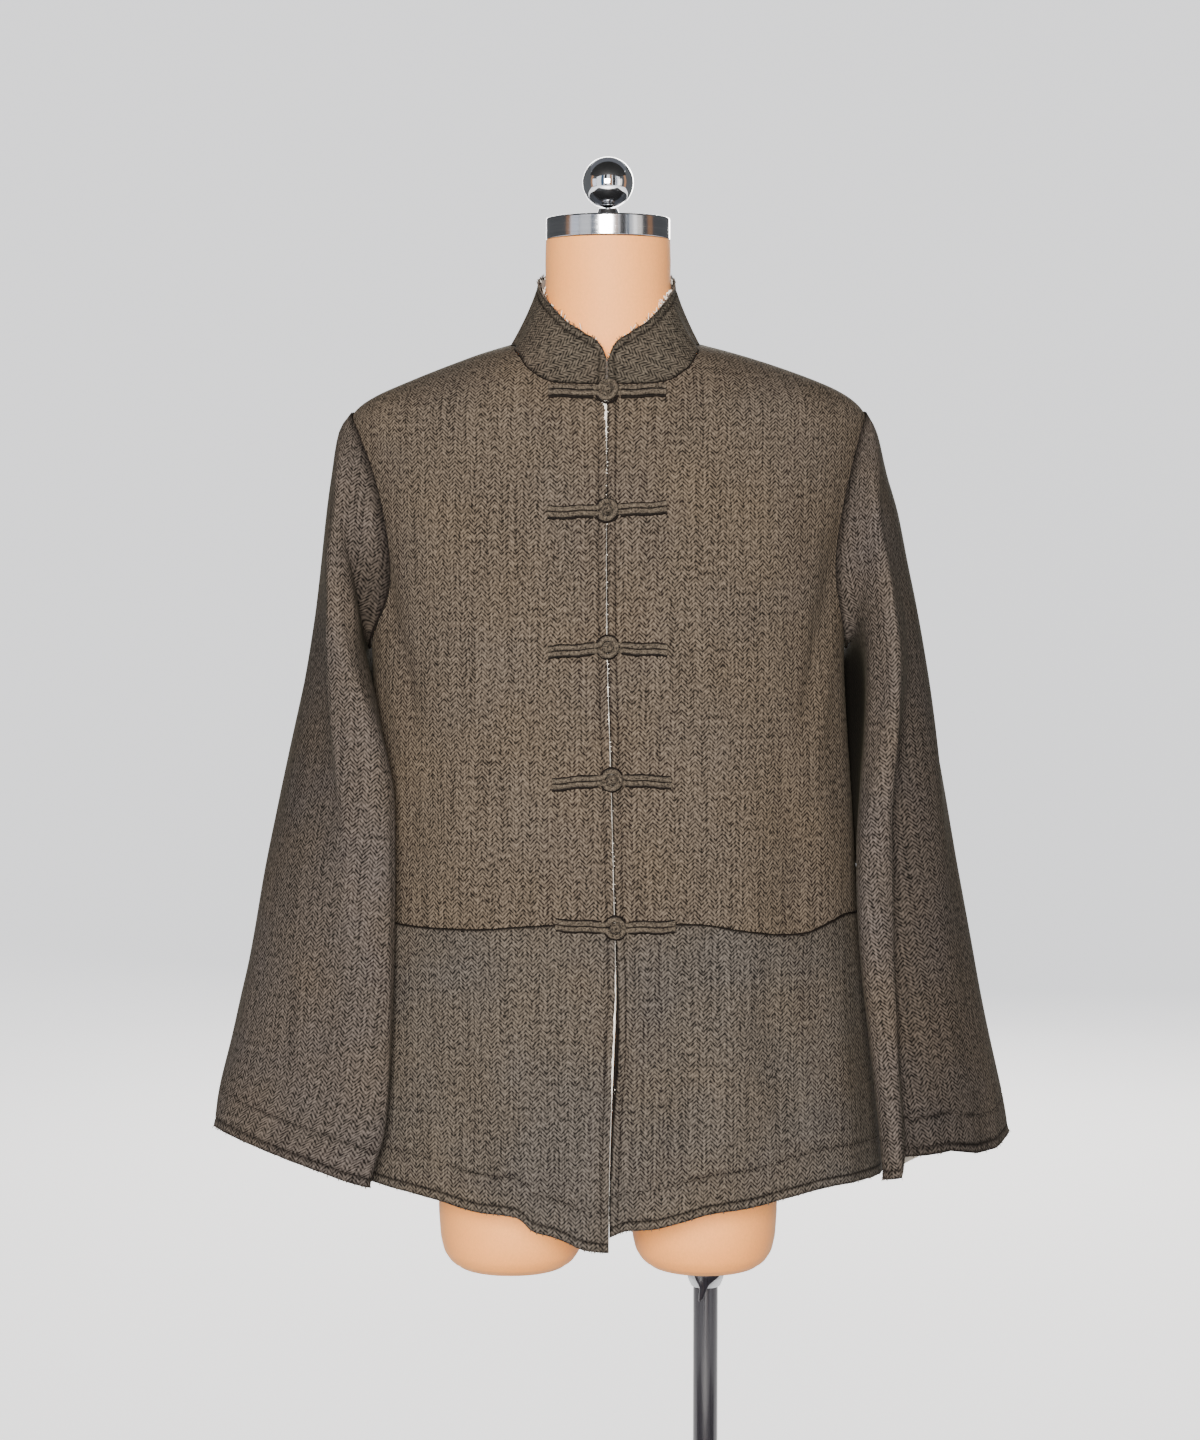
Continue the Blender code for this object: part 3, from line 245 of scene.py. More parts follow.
outline = softened((LEVER_OUTLINE[-1], *LEVER_OUTLINE, LEVER_OUTLINE[0]), LEVER_ROUNDING, 4)[1:-1]
lever_front = POLE_AT[1] - SOCKET_RADIUS - SEAT - LEVER_THICKNESS
middle = np.mean(np.array(LEVER_OUTLINE), axis=0)
lever_rings = [
    [(POLE_AT[0] + middle[0] + (aside - middle[0]) * shrink, lever_front + LEVER_THICKNESS * depth_share,
      LEVER_HEIGHT + middle[1] + (up - middle[1]) * shrink) for aside, up in outline]
    for depth_share, shrink in LEVER_EDGES
]
lever_faces = [face[::-1] for face in capped_faces(len(lever_rings), len(outline))]
lever = add_piece("clamp_lever", np.concatenate(lever_rings), lever_faces, [gloss_lacquer], 60)
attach(lever, "root")
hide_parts("pole_lever")

# ---------------------------------------------------------------- dress form
# The limbless form is moulded in two halves and covered with peach stretch jersey, pulled tight and
# turned under the two leg stubs, where a gathering thread holds it.
NECK_TOP = 1.5367
STUB_PLACE = 0.0860
STUB_BEHIND = 0.0020
STUB_POWER = 2.2
FORM_TURNS = 96
# height, half_width, front, back, side_power, depth_power
FORM_RINGS = (
    (0.715, 0.1200, 0.060, 0.066, 2.2, 2.2),
    (0.735, 0.1560, 0.082, 0.092, 2.2, 2.2),
    (0.780, 0.1700, 0.096, 0.104, 2.2, 2.2),
    (0.850, 0.1760, 0.101, 0.107, 2.2, 2.1),
    (0.930, 0.1680, 0.099, 0.100, 2.2, 2.1),
    (1.000, 0.1540, 0.095, 0.092, 2.2, 2.0),
    (1.060, 0.1480, 0.094, 0.088, 2.2, 2.0),
    (1.140, 0.1570, 0.103, 0.093, 2.2, 2.0),
    (1.220, 0.1700, 0.110, 0.101, 2.2, 1.9),
    (1.280, 0.1800, 0.109, 0.104, 2.2, 1.9),
    (1.330, 0.1870, 0.102, 0.101, 2.2, 1.8),
    (1.360, 0.1890, 0.093, 0.095, 2.2, 1.7),
    (1.380, 0.1860, 0.086, 0.088, 2.2, 1.6),
    (1.395, 0.1790, 0.080, 0.083, 2.1, 1.6),
    (1.4073, 0.1700, 0.0745, 0.078, 2.0, 1.6),
    (1.4178, 0.1560, 0.0690, 0.072, 1.9, 1.6),
    (1.4273, 0.1330, 0.0630, 0.067, 1.8, 1.6),
    (1.4357, 0.1095, 0.0580, 0.062, 1.7, 1.6),
    (1.4420, 0.0805, 0.0560, 0.060, 1.8, 1.8),
    (1.4530, 0.0648, 0.0555, 0.059, 2.0, 2.0),
    (1.4700, 0.0595, 0.0550, 0.057, 2.0, 2.0),
    (1.4950, 0.0552, 0.0548, 0.055, 2.0, 2.0),
    (1.5200, 0.0550, 0.0545, 0.0545, 2.0, 2.0),
    (NECK_TOP, 0.0545, 0.0545, 0.0545, 2.0, 2.0),
)
# height, half_width, half_depth
STUB_RINGS = (
    (STUB_BOTTOM, 0.0300, 0.0330),
    (0.6262, 0.0420, 0.0470),
    (0.6300, 0.0520, 0.0590),
    (0.6370, 0.0590, 0.0670),
    (0.6480, 0.0630, 0.0720),
    (0.6650, 0.0650, 0.0745),
    (0.7000, 0.0660, 0.0760),
    (0.7600, 0.0660, 0.0770),
)


def curve_at(rows, keys):
    """Smooth curves through the rows of a table, read at an array of keys. The key is the first column."""
    rows = np.array(rows, float)
    known, values = rows[:, 0], rows[:, 1:]
    slopes = np.gradient(values, known, axis=0)
    keys = np.clip(np.asarray(keys, float), known[0], known[-1])
    i = np.clip(np.searchsorted(known, keys) - 1, 0, len(known) - 2)
    step = (known[i + 1] - known[i])[..., None]
    t = (keys - known[i])[..., None] / step
    return (
        values[i] * (2 * t**3 - 3 * t**2 + 1)
        + values[i + 1] * (3 * t**2 - 2 * t**3)
        + slopes[i] * step * (t**3 - 2 * t**2 + t)
        + slopes[i + 1] * step * (t**3 - t**2)
    )


def signed_power(base, power):
    """A power that keeps the sign, for rounded ovals."""
    return np.sign(base) * np.abs(base) ** power


def oval(half_width, front, back, side_power, depth_power, centre, height, steps):
    """A level ring of points with its own depth in front and behind."""
    turns = 2 * np.pi * np.arange(steps) / steps
    across, ahead = np.sin(turns), np.cos(turns)
    depth = np.where(ahead > 0, front, back)
    x = centre[0] + half_width * signed_power(across, 2 / side_power)
    y = centre[1] - depth * signed_power(ahead, 2 / depth_power)
    return np.stack((x, y, np.full(steps, height)), 1)


def levels_through(rows, steps):
    """Heights from a table's first row to its last, with this many steps between each two rows."""
    levels = [np.linspace(low[0], high[0], steps + 1)[:-1] for low, high in zip(rows, rows[1:])]
    return np.append(np.concatenate(levels), rows[-1][0])


def lofted(name, rings, materials):
    """A closed piece through rings of points from bottom to top, with flat ends."""
    return add_piece(name, np.concatenate(rings), capped_faces(len(rings), len(rings[0])), materials, 60)


# Stretch jersey: a fine knit of pale peach nylon, matt with a soft sheen where it turns away. Its wales
# are 0.5 mm apart, drawn 1.5 mm apart so that they show at all.
jersey, tree, shader = finish(
    "stretch_jersey", {"Roughness": 0.66, "IOR": 1.46, "Sheen Weight": 0.10, "Sheen Roughness": 0.45,
                       "Subsurface Weight": 0.08, "Subsurface Scale": 0.010}
)
shader.inputs["Sheen Tint"].default_value = linear("#ffe6cf")
shader.inputs["Subsurface Radius"].default_value = (1.0, 0.45, 0.25)
place = node(tree, "TexCoord").outputs["Object"]
wales = node(tree, "Mapping", values={"Scale": (620.0, 620.0, 420.0)}, links={"Vector": place})
knit = node(tree, "TexNoise", values={"Scale": 1.0, "Detail": 2.0, "Roughness": 0.6},
            links={"Vector": wales.outputs[0]})
blotches = node(tree, "TexNoise", values={"Scale": 7.0, "Detail": 3.0}, links={"Vector": place})
peach = node(tree, "ValToRGB", links={0: blotches.outputs["Fac"]})
peach.color_ramp.elements[0].position = 0.3
peach.color_ramp.elements[0].color = linear("#e69345")
peach.color_ramp.elements[1].position = 0.7
peach.color_ramp.elements[1].color = linear("#eb9c50")
loops = node(tree, "MapRange", values={1: 0.3, 2: 0.7, 3: 0.94, 4: 1.04}, links={0: knit.outputs["Fac"]})
thread = node(tree, "Mix", {"data_type": "RGBA", "blend_type": "MULTIPLY"}, {"Factor": 1.0},
              {6: peach.outputs[0], 7: loops.outputs[0]})
ribs = node(tree, "Bump", values={"Strength": 0.25, "Distance": 0.0003},
            links={"Height": knit.outputs["Fac"]})
wire(shader, {"Base Color": thread.outputs[2], "Normal": ribs.outputs[0]})

levels = levels_through(FORM_RINGS, 5)
torso_rings = [
    oval(*sizes, (0.0, 0.0), level, FORM_TURNS) for sizes, level in zip(curve_at(FORM_RINGS, levels), levels)
]
form = lofted("form_torso", torso_rings, [jersey])
levels = levels_through(STUB_RINGS, 4)
for side_sign in (1, -1):
    stub_at = (side_sign * STUB_PLACE, STUB_BEHIND)
    stub = lofted(
        "stub_shape",
        [oval(width, deep, deep, STUB_POWER, STUB_POWER, stub_at, level, FORM_TURNS)
         for (width, deep), level in zip(curve_at(STUB_RINGS, levels), levels)],
        [jersey],
    )
    joined = form.modifiers.new("stub", "BOOLEAN")
    joined.operation = "UNION"
    joined.solver = "EXACT"
    joined.object = stub
    with bpy.context.temp_override(object=form, active_object=form):
        bpy.ops.object.modifier_apply(modifier=joined.name)
    bpy.data.objects.remove(stub, do_unlink=True)
form.data.shade_smooth()
form.data.set_sharp_from_angle(angle=math.radians(50))
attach(form, "root")
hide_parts("form_body")

# ---------------------------------------------------------------- neck cap, ring and ball
# A brushed steel cap closes the form's neck. A turned seat ring on it carries the chromed ball that
# finishes the top, screwed down on one stud from below.
CAP_RADIUS = 0.0543
CAP_TOP = 1.5560
RING_RADIUS = 0.0100
RING_STEP = 0.0030         # the height of the seat ring's straight foot
BALL_RADIUS = 0.0224
BALL_HEIGHT = 1.5870
BALL_RINGS = 48

# Brushed stainless steel: abrasive bands leave fine lines round the cap that stretch its reflections.
brushed_steel, tree, shader = finish("brushed_stainless_steel", {"Metallic": 1.0})
place = node(tree, "TexCoord").outputs["Object"]
round_the_cap = node(tree, "Mapping", values={"Scale": (14.0, 14.0, 2600.0)}, links={"Vector": place})
brush = node(tree, "TexNoise", values={"Scale": 1.0, "Detail": 3.0},
             links={"Vector": round_the_cap.outputs[0]})
steel = node(tree, "ValToRGB", links={0: brush.outputs["Fac"]})
steel.color_ramp.elements[0].color = linear("#9fa1a5")
steel.color_ramp.elements[1].color = linear("#c8c9cc")
satin = node(tree, "MapRange", values={1: 0.3, 2: 0.7, 3: 0.10, 4: 0.20}, links={0: brush.outputs["Fac"]})
strokes = node(tree, "Bump", values={"Strength": 0.06, "Distance": 0.0001},
               links={"Height": brush.outputs["Fac"]})
wire(shader, {"Base Color": steel.outputs[0], "Roughness": satin.outputs[0], "Normal": strokes.outputs[0]})

# Chromed brass: mirror-polished plating with a few soft finger marks.
chrome, tree, shader = finish("chrome_plate", {"Metallic": 1.0})
place = node(tree, "TexCoord").outputs["Object"]
marks = node(tree, "TexNoise", values={"Scale": 60.0, "Detail": 4.0}, links={"Vector": place})
polish = node(tree, "MapRange", values={1: 0.45, 2: 0.75, 3: 0.035, 4: 0.12}, links={0: marks.outputs["Fac"]})
plate = node(tree, "ValToRGB", links={0: marks.outputs["Fac"]})
plate.color_ramp.elements[0].color = linear("#e3e5e9")
plate.color_ramp.elements[1].color = linear("#f0f1f3")
wire(shader, {"Base Color": plate.outputs[0], "Roughness": polish.outputs[0]})

cap_bottom = NECK_TOP + SEAT
cap_profile = softened(
    ((AXIS, cap_bottom), (CAP_RADIUS, cap_bottom), (CAP_RADIUS, CAP_TOP), (AXIS, CAP_TOP)), 0.0016, 6
)
neck_cap = turned("neck_cap_disc", cap_profile, (0.0, 0.0), 144, brushed_steel)
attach(neck_cap, "root")
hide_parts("neck_cap")

ring_bottom = CAP_TOP + SEAT
ring_top = BALL_HEIGHT - BALL_RADIUS - SEAT
ring_profile = softened(
    ((AXIS, ring_bottom), (RING_RADIUS, ring_bottom), (RING_RADIUS, ring_bottom + RING_STEP),
     (0.0088, ring_top - 0.0012), (0.0086, ring_top), (AXIS, ring_top)), 0.0009, 4
)
seat_ring = turned("ball_seat_ring", ring_profile, (0.0, 0.0), 72, chrome)
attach(seat_ring, "root")
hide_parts("finial_ring")

ball_profile = [
    (max(0.0002, BALL_RADIUS * math.sin(angle)), BALL_HEIGHT - BALL_RADIUS * math.cos(angle))
    for angle in np.pi * np.arange(BALL_RINGS + 1) / BALL_RINGS
]
ball = turned("chrome_ball", ball_profile, (0.0, 0.0), 96, chrome)
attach(ball, "root")
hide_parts("finial_ball")

# ---------------------------------------------------------------- back panel
# The back is one piece of double-faced wool, herringbone outside and cream inside, unlined. It is sewn
# to the fronts at the sides and shoulders, and its hem is cut raw and stitched.
CLOTH = 0.0018
SEAM_GAP = 0.0003
HEM_HEIGHT = 0.712
POCKET_HEIGHT = 0.949
LEVEL_UP_TO = 1.250        # the panels' rows run level up to here, and tilt to the shoulder above
ARMPIT_HEIGHT = 1.180
SHOULDER_TIP_HEIGHT = 1.386
ARMHOLE_MIDDLE = (ARMPIT_HEIGHT + SHOULDER_TIP_HEIGHT) / 2
ARMHOLE_HALF = (SHOULDER_TIP_HEIGHT - ARMPIT_HEIGHT) / 2
NECK_POINT_HEIGHT = 1.4455
FRONT_NECK_HEIGHT = 1.409
BACK_NECK_HEIGHT = 1.4405
NAPE_RISE = 0.016          # how much higher the cloth lies over the nape
NAPE_FROM = 1.30
NAPE_OVER = 0.12
ARMHOLE_INSET = {-1: 0.026, 1: 0.016}   # -1 is the wearer's right side and 1 the left side
SIDE_TURN = 90.0           # the side seam, in degrees from the centre front
# The jacket's outer surface: height, half_width, front, back, side_power, depth_power, shift
BODY_RINGS = (
    (0.660, 0.2420, 0.147, 0.124, 2.15, 2.10, 0.0050),
    (0.720, 0.2380, 0.145, 0.122, 2.15, 2.10, 0.0050),
    (0.800, 0.2310, 0.142, 0.120, 2.20, 2.10, 0.0050),
    (0.885, 0.2240, 0.139, 0.117, 2.25, 2.10, 0.0045),
    (0.980, 0.2165, 0.135, 0.114, 2.30, 2.10, 0.0040),
    (1.060, 0.2110, 0.131, 0.113, 2.30, 2.10, 0.0030),
    (1.120, 0.2085, 0.129, 0.114, 2.30, 2.05, 0.0015),
    (1.180, 0.2085, 0.128, 0.116, 2.30, 2.00, 0.0000),
    (1.240, 0.2140, 0.126, 0.117, 2.30, 1.95, 0.0000),
    (1.300, 0.2205, 0.119, 0.114, 2.30, 1.85, 0.0000),
    (1.340, 0.2245, 0.109, 0.108, 2.25, 1.75, 0.0000),
    (1.370, 0.2262, 0.098, 0.099, 2.20, 1.70, 0.0000),
    (1.386, 0.2240, 0.092, 0.093, 2.20, 1.65, 0.0000),
    (1.396, 0.2130, 0.087, 0.088, 2.20, 1.65, 0.0000),
    (1.404, 0.1986, 0.083, 0.084, 2.20, 1.60, 0.0000),
    (1.412, 0.1800, 0.079, 0.080, 2.20, 1.60, 0.0000),
    (1.421, 0.1580, 0.073, 0.075, 2.20, 1.60, 0.0000),
    (1.430, 0.1345, 0.066, 0.070, 2.20, 1.60, 0.0000),
    (1.438, 0.1110, 0.058, 0.064, 2.20, 1.60, -0.0010),
    (1.4455, 0.0815, 0.048, 0.056, 2.20, 1.60, -0.0025),
    (1.460, 0.0400, 0.030, 0.040, 2.20, 1.60, 0.0000),
)
# Broad hollows (minus) and swells (plus): turn, height, turn_reach, height_reach, lean, depth
BODY_FOLDS = (
    (63, 1.235, 7, 0.06, 40, -0.005), (-63, 1.235, 7, 0.06, -40, -0.005), (74, 1.08, 9, 0.12, 0, 0.004),
    (-74, 1.08, 9, 0.12, 0, 0.004), (46, 1.01, 10, 0.055, -60, -0.006), (-50, 1.02, 9, 0.05, 60, -0.0035),
    (24, 0.84, 6, 0.11, 20, 0.005), (12, 0.82, 6, 0.1, 20, -0.004), (-22, 0.8, 7, 0.11, -15, 0.0045),
    (56, 0.8, 8, 0.11, 0, 0.0045), (-52, 0.79, 8, 0.11, 0, 0.004), (118, 0.8, 9, 0.13, 10, 0.006),
    (-118, 0.81, 9, 0.13, -10, 0.0055), (140, 0.79, 8, 0.12, 12, -0.0055),
    (-142, 0.8, 8, 0.12, -12, -0.005), (162, 0.8, 9, 0.14, 8, 0.0055), (-160, 0.79, 9, 0.14, -8, 0.005),
    (180, 1.1, 12, 0.12, 0, -0.007), (128, 1.2, 10, 0.08, -50, -0.0055), (-128, 1.2, 10, 0.08, 50, -0.005),
    (82, 1.408, 40, 0.024, 0, 0.0035),
)
# Smaller creases that the wearing has set in the cloth, in the same columns
BODY_CREASES = (
    (4.0, 0.912, 2.0, 0.052, 35, 0.0028), (1.9, 0.926, 0.9, 0.028, -28, -0.0014),
    (-3.5, 0.88, 1.8, 0.06, -10, -0.0012), (54, 1.15, 3.5, 0.045, 90, -0.0026),
    (60, 1.12, 3.0, 0.05, 110, 0.0016), (-55, 1.16, 3.5, 0.045, -90, -0.0026),
    (-61, 1.125, 3.0, 0.05, -110, 0.0016), (30, 1.33, 12.0, 0.012, -300, -0.001),
    (-34, 1.325, 12.0, 0.012, 300, -0.001), (-14, 1.075, 9.0, 0.01, 500, -0.001),
    (17, 1.16, 9.0, 0.01, -500, -0.0008), (-30, 0.86, 3.0, 0.07, 25, -0.0016),
    (36, 0.83, 3.5, 0.08, -20, -0.0022), (-12, 0.76, 3.0, 0.05, 0, 0.0018),
    (104, 0.87, 4.0, 0.1, 10, -0.003), (-104, 0.88, 4.0, 0.1, -10, -0.0028),
    (150, 1.29, 14.0, 0.01, 420, -0.0018), (-152, 1.285, 14.0, 0.01, -420, -0.0018),
    (165, 1.18, 10.0, 0.011, -500, -0.0016), (-168, 1.15, 10.0, 0.011, 500, -0.0014),
    (172, 0.9, 3.0, 0.11, 15, -0.0022), (-174, 0.93, 3.0, 0.09, -20, 0.0016),
    (130, 0.96, 4.0, 0.07, 40, 0.0022), (-130, 0.97, 4.0, 0.07, -40, 0.0022),
)
HEM_CLOSE_ROWS = 0.014
POCKET_CLOSE_ROWS = 0.006
# The fronts fall in behind the pockets' slack mouths. The pockets themselves do not follow them.
MOUTH_HOLLOW = ((42, 0.960, 10.0, 0.030, -190, -0.0055), (-40, 0.960, 12.0, 0.022, 60, -0.0022))


def body_ring(turn, height):
    """Points of the unfolded body surface. Turn is in degrees from the centre front."""
    half_width, front, back, side_power, depth_power, shift = np.moveaxis(curve_at(BODY_RINGS, height), -1, 0)
    across, ahead = np.sin(np.radians(turn)), np.cos(np.radians(turn))
    depth = np.where(ahead > 0, front, back)
    x = half_width * signed_power(across, 2 / side_power) + shift
    y = -depth * signed_power(ahead, 2 / depth_power)
    nape = NAPE_RISE * np.clip((height - NAPE_FROM) / NAPE_OVER, 0, 1) ** 2
    return np.stack((x, y, height + nape * np.maximum(0, -ahead) ** 1.5), -1)


def unit(vectors):
    """Vectors of the same directions, 1 long."""
    return vectors / np.linalg.norm(vectors, axis=-1, keepdims=True)


def facing(surface, turn, height, aside=1.0, rise=0.002):
    """The outward directions of a surface, from its points a little to each side."""
    along = surface(turn + aside, height) - surface(turn - aside, height)
    up = surface(turn, height + rise) - surface(turn, height - rise)
    return unit(np.cross(along, up))


def fold_depth(folds, turn, height):
    """How far these folds swell the cloth out or let it fall in."""
    depth = np.zeros(np.shape(turn))
    for fold_turn, fold_height, turn_reach, height_reach, lean, fold in folds:
        rise = height - fold_height
        aside = (turn - fold_turn - lean * rise + 180) % 360 - 180
        depth = depth + fold * np.exp(-((aside / turn_reach) ** 2) - (rise / height_reach) ** 2)
    return depth


def body_surface(extra_folds):
    """The worn body surface with its folds, its creases and these as well."""
    folds = BODY_FOLDS + BODY_CREASES + tuple(extra_folds)

    def surface(turn, height):
        out = facing(body_ring, turn, height)
        return body_ring(turn, height) + fold_depth(folds, turn, height)[..., None] * out

    return surface


body_cloth = body_surface(MOUTH_HOLLOW)
pocket_cloth = body_surface(())


def armhole_turn(height, sign):
    """The turn from the centre front at which the armhole crosses these heights on the front."""
    level = np.clip((height - ARMHOLE_MIDDLE) / ARMHOLE_HALF, -1, 1)
    ring = curve_at(BODY_RINGS, height)
    share = 1 - ARMHOLE_INSET[sign] * (1 - level**2) / ring[..., 0]
    return np.degrees(np.arcsin(share ** (ring[..., 3] / 2)))


def edge_rows(sign):
    """(turn, height) of each panel row's outer end: up the side seam, the armhole and the shoulder seam.

    The rows lie closer together over the hem's edge and round the pocket line."""
    close = HEM_HEIGHT + np.linspace(0, HEM_CLOSE_ROWS, 13)
    side = np.concatenate((
        close[:-1],
        np.linspace(close[-1], POCKET_HEIGHT - POCKET_CLOSE_ROWS, 62),
        np.linspace(POCKET_HEIGHT - 0.75 * POCKET_CLOSE_ROWS, POCKET_HEIGHT + POCKET_CLOSE_ROWS, 8),
        np.linspace(POCKET_HEIGHT + 0.010, ARMPIT_HEIGHT, 58)[:-1],
    ))
    arm = ARMHOLE_MIDDLE - ARMHOLE_HALF * np.cos(np.linspace(0, np.pi, 61))
    shoulder = np.linspace(SHOULDER_TIP_HEIGHT, NECK_POINT_HEIGHT, 31)[1:]
    turns = (np.full(len(side), SIDE_TURN), armhole_turn(arm, sign), np.full(len(shoulder), SIDE_TURN))
    return np.concatenate(turns), np.concatenate((side, arm, shoulder))


def middle_height(edge_height, top):
    """Height of a row at the centre line, for its height at the outer edge."""
    share = np.maximum(0, edge_height - LEVEL_UP_TO) / (NECK_POINT_HEIGHT - LEVEL_UP_TO)
    return np.minimum(edge_height, LEVEL_UP_TO) + share * (top - LEVEL_UP_TO)


def seam_trim(turn, height, towards):
    """Turns moved by half of the seam gap, away from the neighbouring panel."""
    step = 0.2
    width = np.linalg.norm(body_cloth(turn + step, height) - body_cloth(turn, height), axis=-1)
    return turn + towards * step * (SEAM_GAP / 2) / width


def lengths(points, axis, flat=False):
    """Distances along one axis of a grid of points, from its start. Flat leaves out the rise."""
    steps = np.diff(points[..., :2] if flat else points, axis=axis)
    run = np.cumsum(np.linalg.norm(steps, axis=-1), axis=axis)
    start = np.zeros_like(np.take(run, [0], axis=axis))
    return np.concatenate((start, run), axis=axis)


def cut_places(points, out, aside, middle):
    """Across and along places of a grid on its flat cut, with aside as the way across the grain."""
    aside = unit(aside - np.sum(aside * out, -1, keepdims=True) * out)
    grain = np.cross(out, aside)
    steps = np.diff(points, axis=1)
    across = np.sum(steps * (aside[:, 1:] + aside[:, :-1]) / 2, -1)
    along = np.sum(steps * (grain[:, 1:] + grain[:, :-1]) / 2, -1)
    start = np.zeros((len(points), 1))
    across = np.concatenate((start, np.cumsum(across, 1)), 1)
    along = np.concatenate((start, np.cumsum(along, 1)), 1)
    rise = np.diff(points[:, middle], axis=0)
    places = []
    for measured, way in ((across, aside[:, middle]), (along, grain[:, middle])):
        up = np.concatenate(((0.0,), np.cumsum(np.sum(rise * (way[1:] + way[:-1]) / 2, -1))))
        places.append(measured - measured[:, middle:middle + 1] + up[:, None])
    return places


def level_aside(points, top_row):
    """The level way across a panel. Above this row, where the cloth turns over the shoulder, it stays."""
    aside = np.gradient(points, axis=1) * (1, 1, 0)
    return aside[np.minimum(np.arange(len(points)), top_row)]


def cloth_piece(name, outer, inner, across, along, shade, materials, edges=(0, 0, 0, 0), wrap=False):
    """A closed cloth wall between two grids of points, rows going up and columns round the wearer's left.

    Across and along are the cut cloth's own measures in metres, for the weave. Shade is how much painted
    shade darkens the cloth's colour. Materials are the outer face's, the inner face's and the bared cut's,
    and edges says which of them is on the bottom, top, first and last rims."""
    rows, columns = outer.shape[:2]
    count = rows * columns
    spans = columns if wrap else columns - 1
    faces, finishes, corners = [], [], []

    def add(quad, material, spots):
        faces.append(quad)
        finishes.append(material)
        corners.extend(spots)

    for r in range(rows - 1):
        for c in range(spans):
            d = (c + 1) % columns
            low, high = r * columns, (r + 1) * columns
            around = ((r, c), (r, c + 1), (r + 1, c + 1), (r + 1, c))
            add((low + c, low + d, high + d, high + c), 0, around)
            add((count + high + c, count + high + d, count + low + d, count + low + c), 1, around[::-1])
    for r, way, rim in ((0, 1, edges[0]), (rows - 1, -1, edges[1])):
        for c in range(spans):
            here, beside = r * columns + c, r * columns + (c + 1) % columns
            quad = (count + here, count + beside, beside, here)
            add(quad[::way], rim, ((r, c), (r, c + 1), (r, c + 1), (r, c))[::way])
    if not wrap:
        for c, way, rim in ((0, -1, edges[2]), (columns - 1, 1, edges[3])):
            for r in range(rows - 1):
                here, above = r * columns + c, (r + 1) * columns + c
                quad = (count + here, count + above, above, here)
                add(quad[::way], rim, ((r, c), (r + 1, c), (r + 1, c), (r, c))[::way])
    made = add_piece(name, np.concatenate((outer.reshape(-1, 3), inner.reshape(-1, 3))), faces, materials, 60)
    mesh = made.data
    mesh.polygons.foreach_set("material_index", finishes)
    spots = np.array(corners)
    cut = mesh.uv_layers.new(name="cut")
    places = np.stack((across[spots[:, 0], spots[:, 1]], along[spots[:, 0], spots[:, 1]]), 1)
    cut.uv.foreach_set("vector", places.astype(np.float32).ravel())
    painted_shade = mesh.attributes.new("painted_shade", "FLOAT", "POINT")
    painted_shade.data.foreach_set("value", np.tile(shade.reshape(-1), 2).astype(np.float32))
    mesh.update()
    return made


# The weave, in metres on the cut cloth. A real one is finer: ribs 2 mm apart, and single yarns of 0.7 mm.
# It is drawn this coarse so that it shows.
TWILL_STRIPE = 0.0060      # the herringbone's twill turns back after this width
TWILL_PITCH = 0.0034       # from one diagonal rib to the next
FLECK = (520.0, 230.0, 1.0)     # flecks of yarn to the metre: each 1.9 mm wide and 4.3 mm long
STREAK = (420.0, 9.0, 1.0)      # heather streaks to the metre: each 2.4 mm wide and 110 mm long
RIB_TONE = (0.24, 0.36)    # how far a rib changes the tone, where it is worn flat and where it is clear


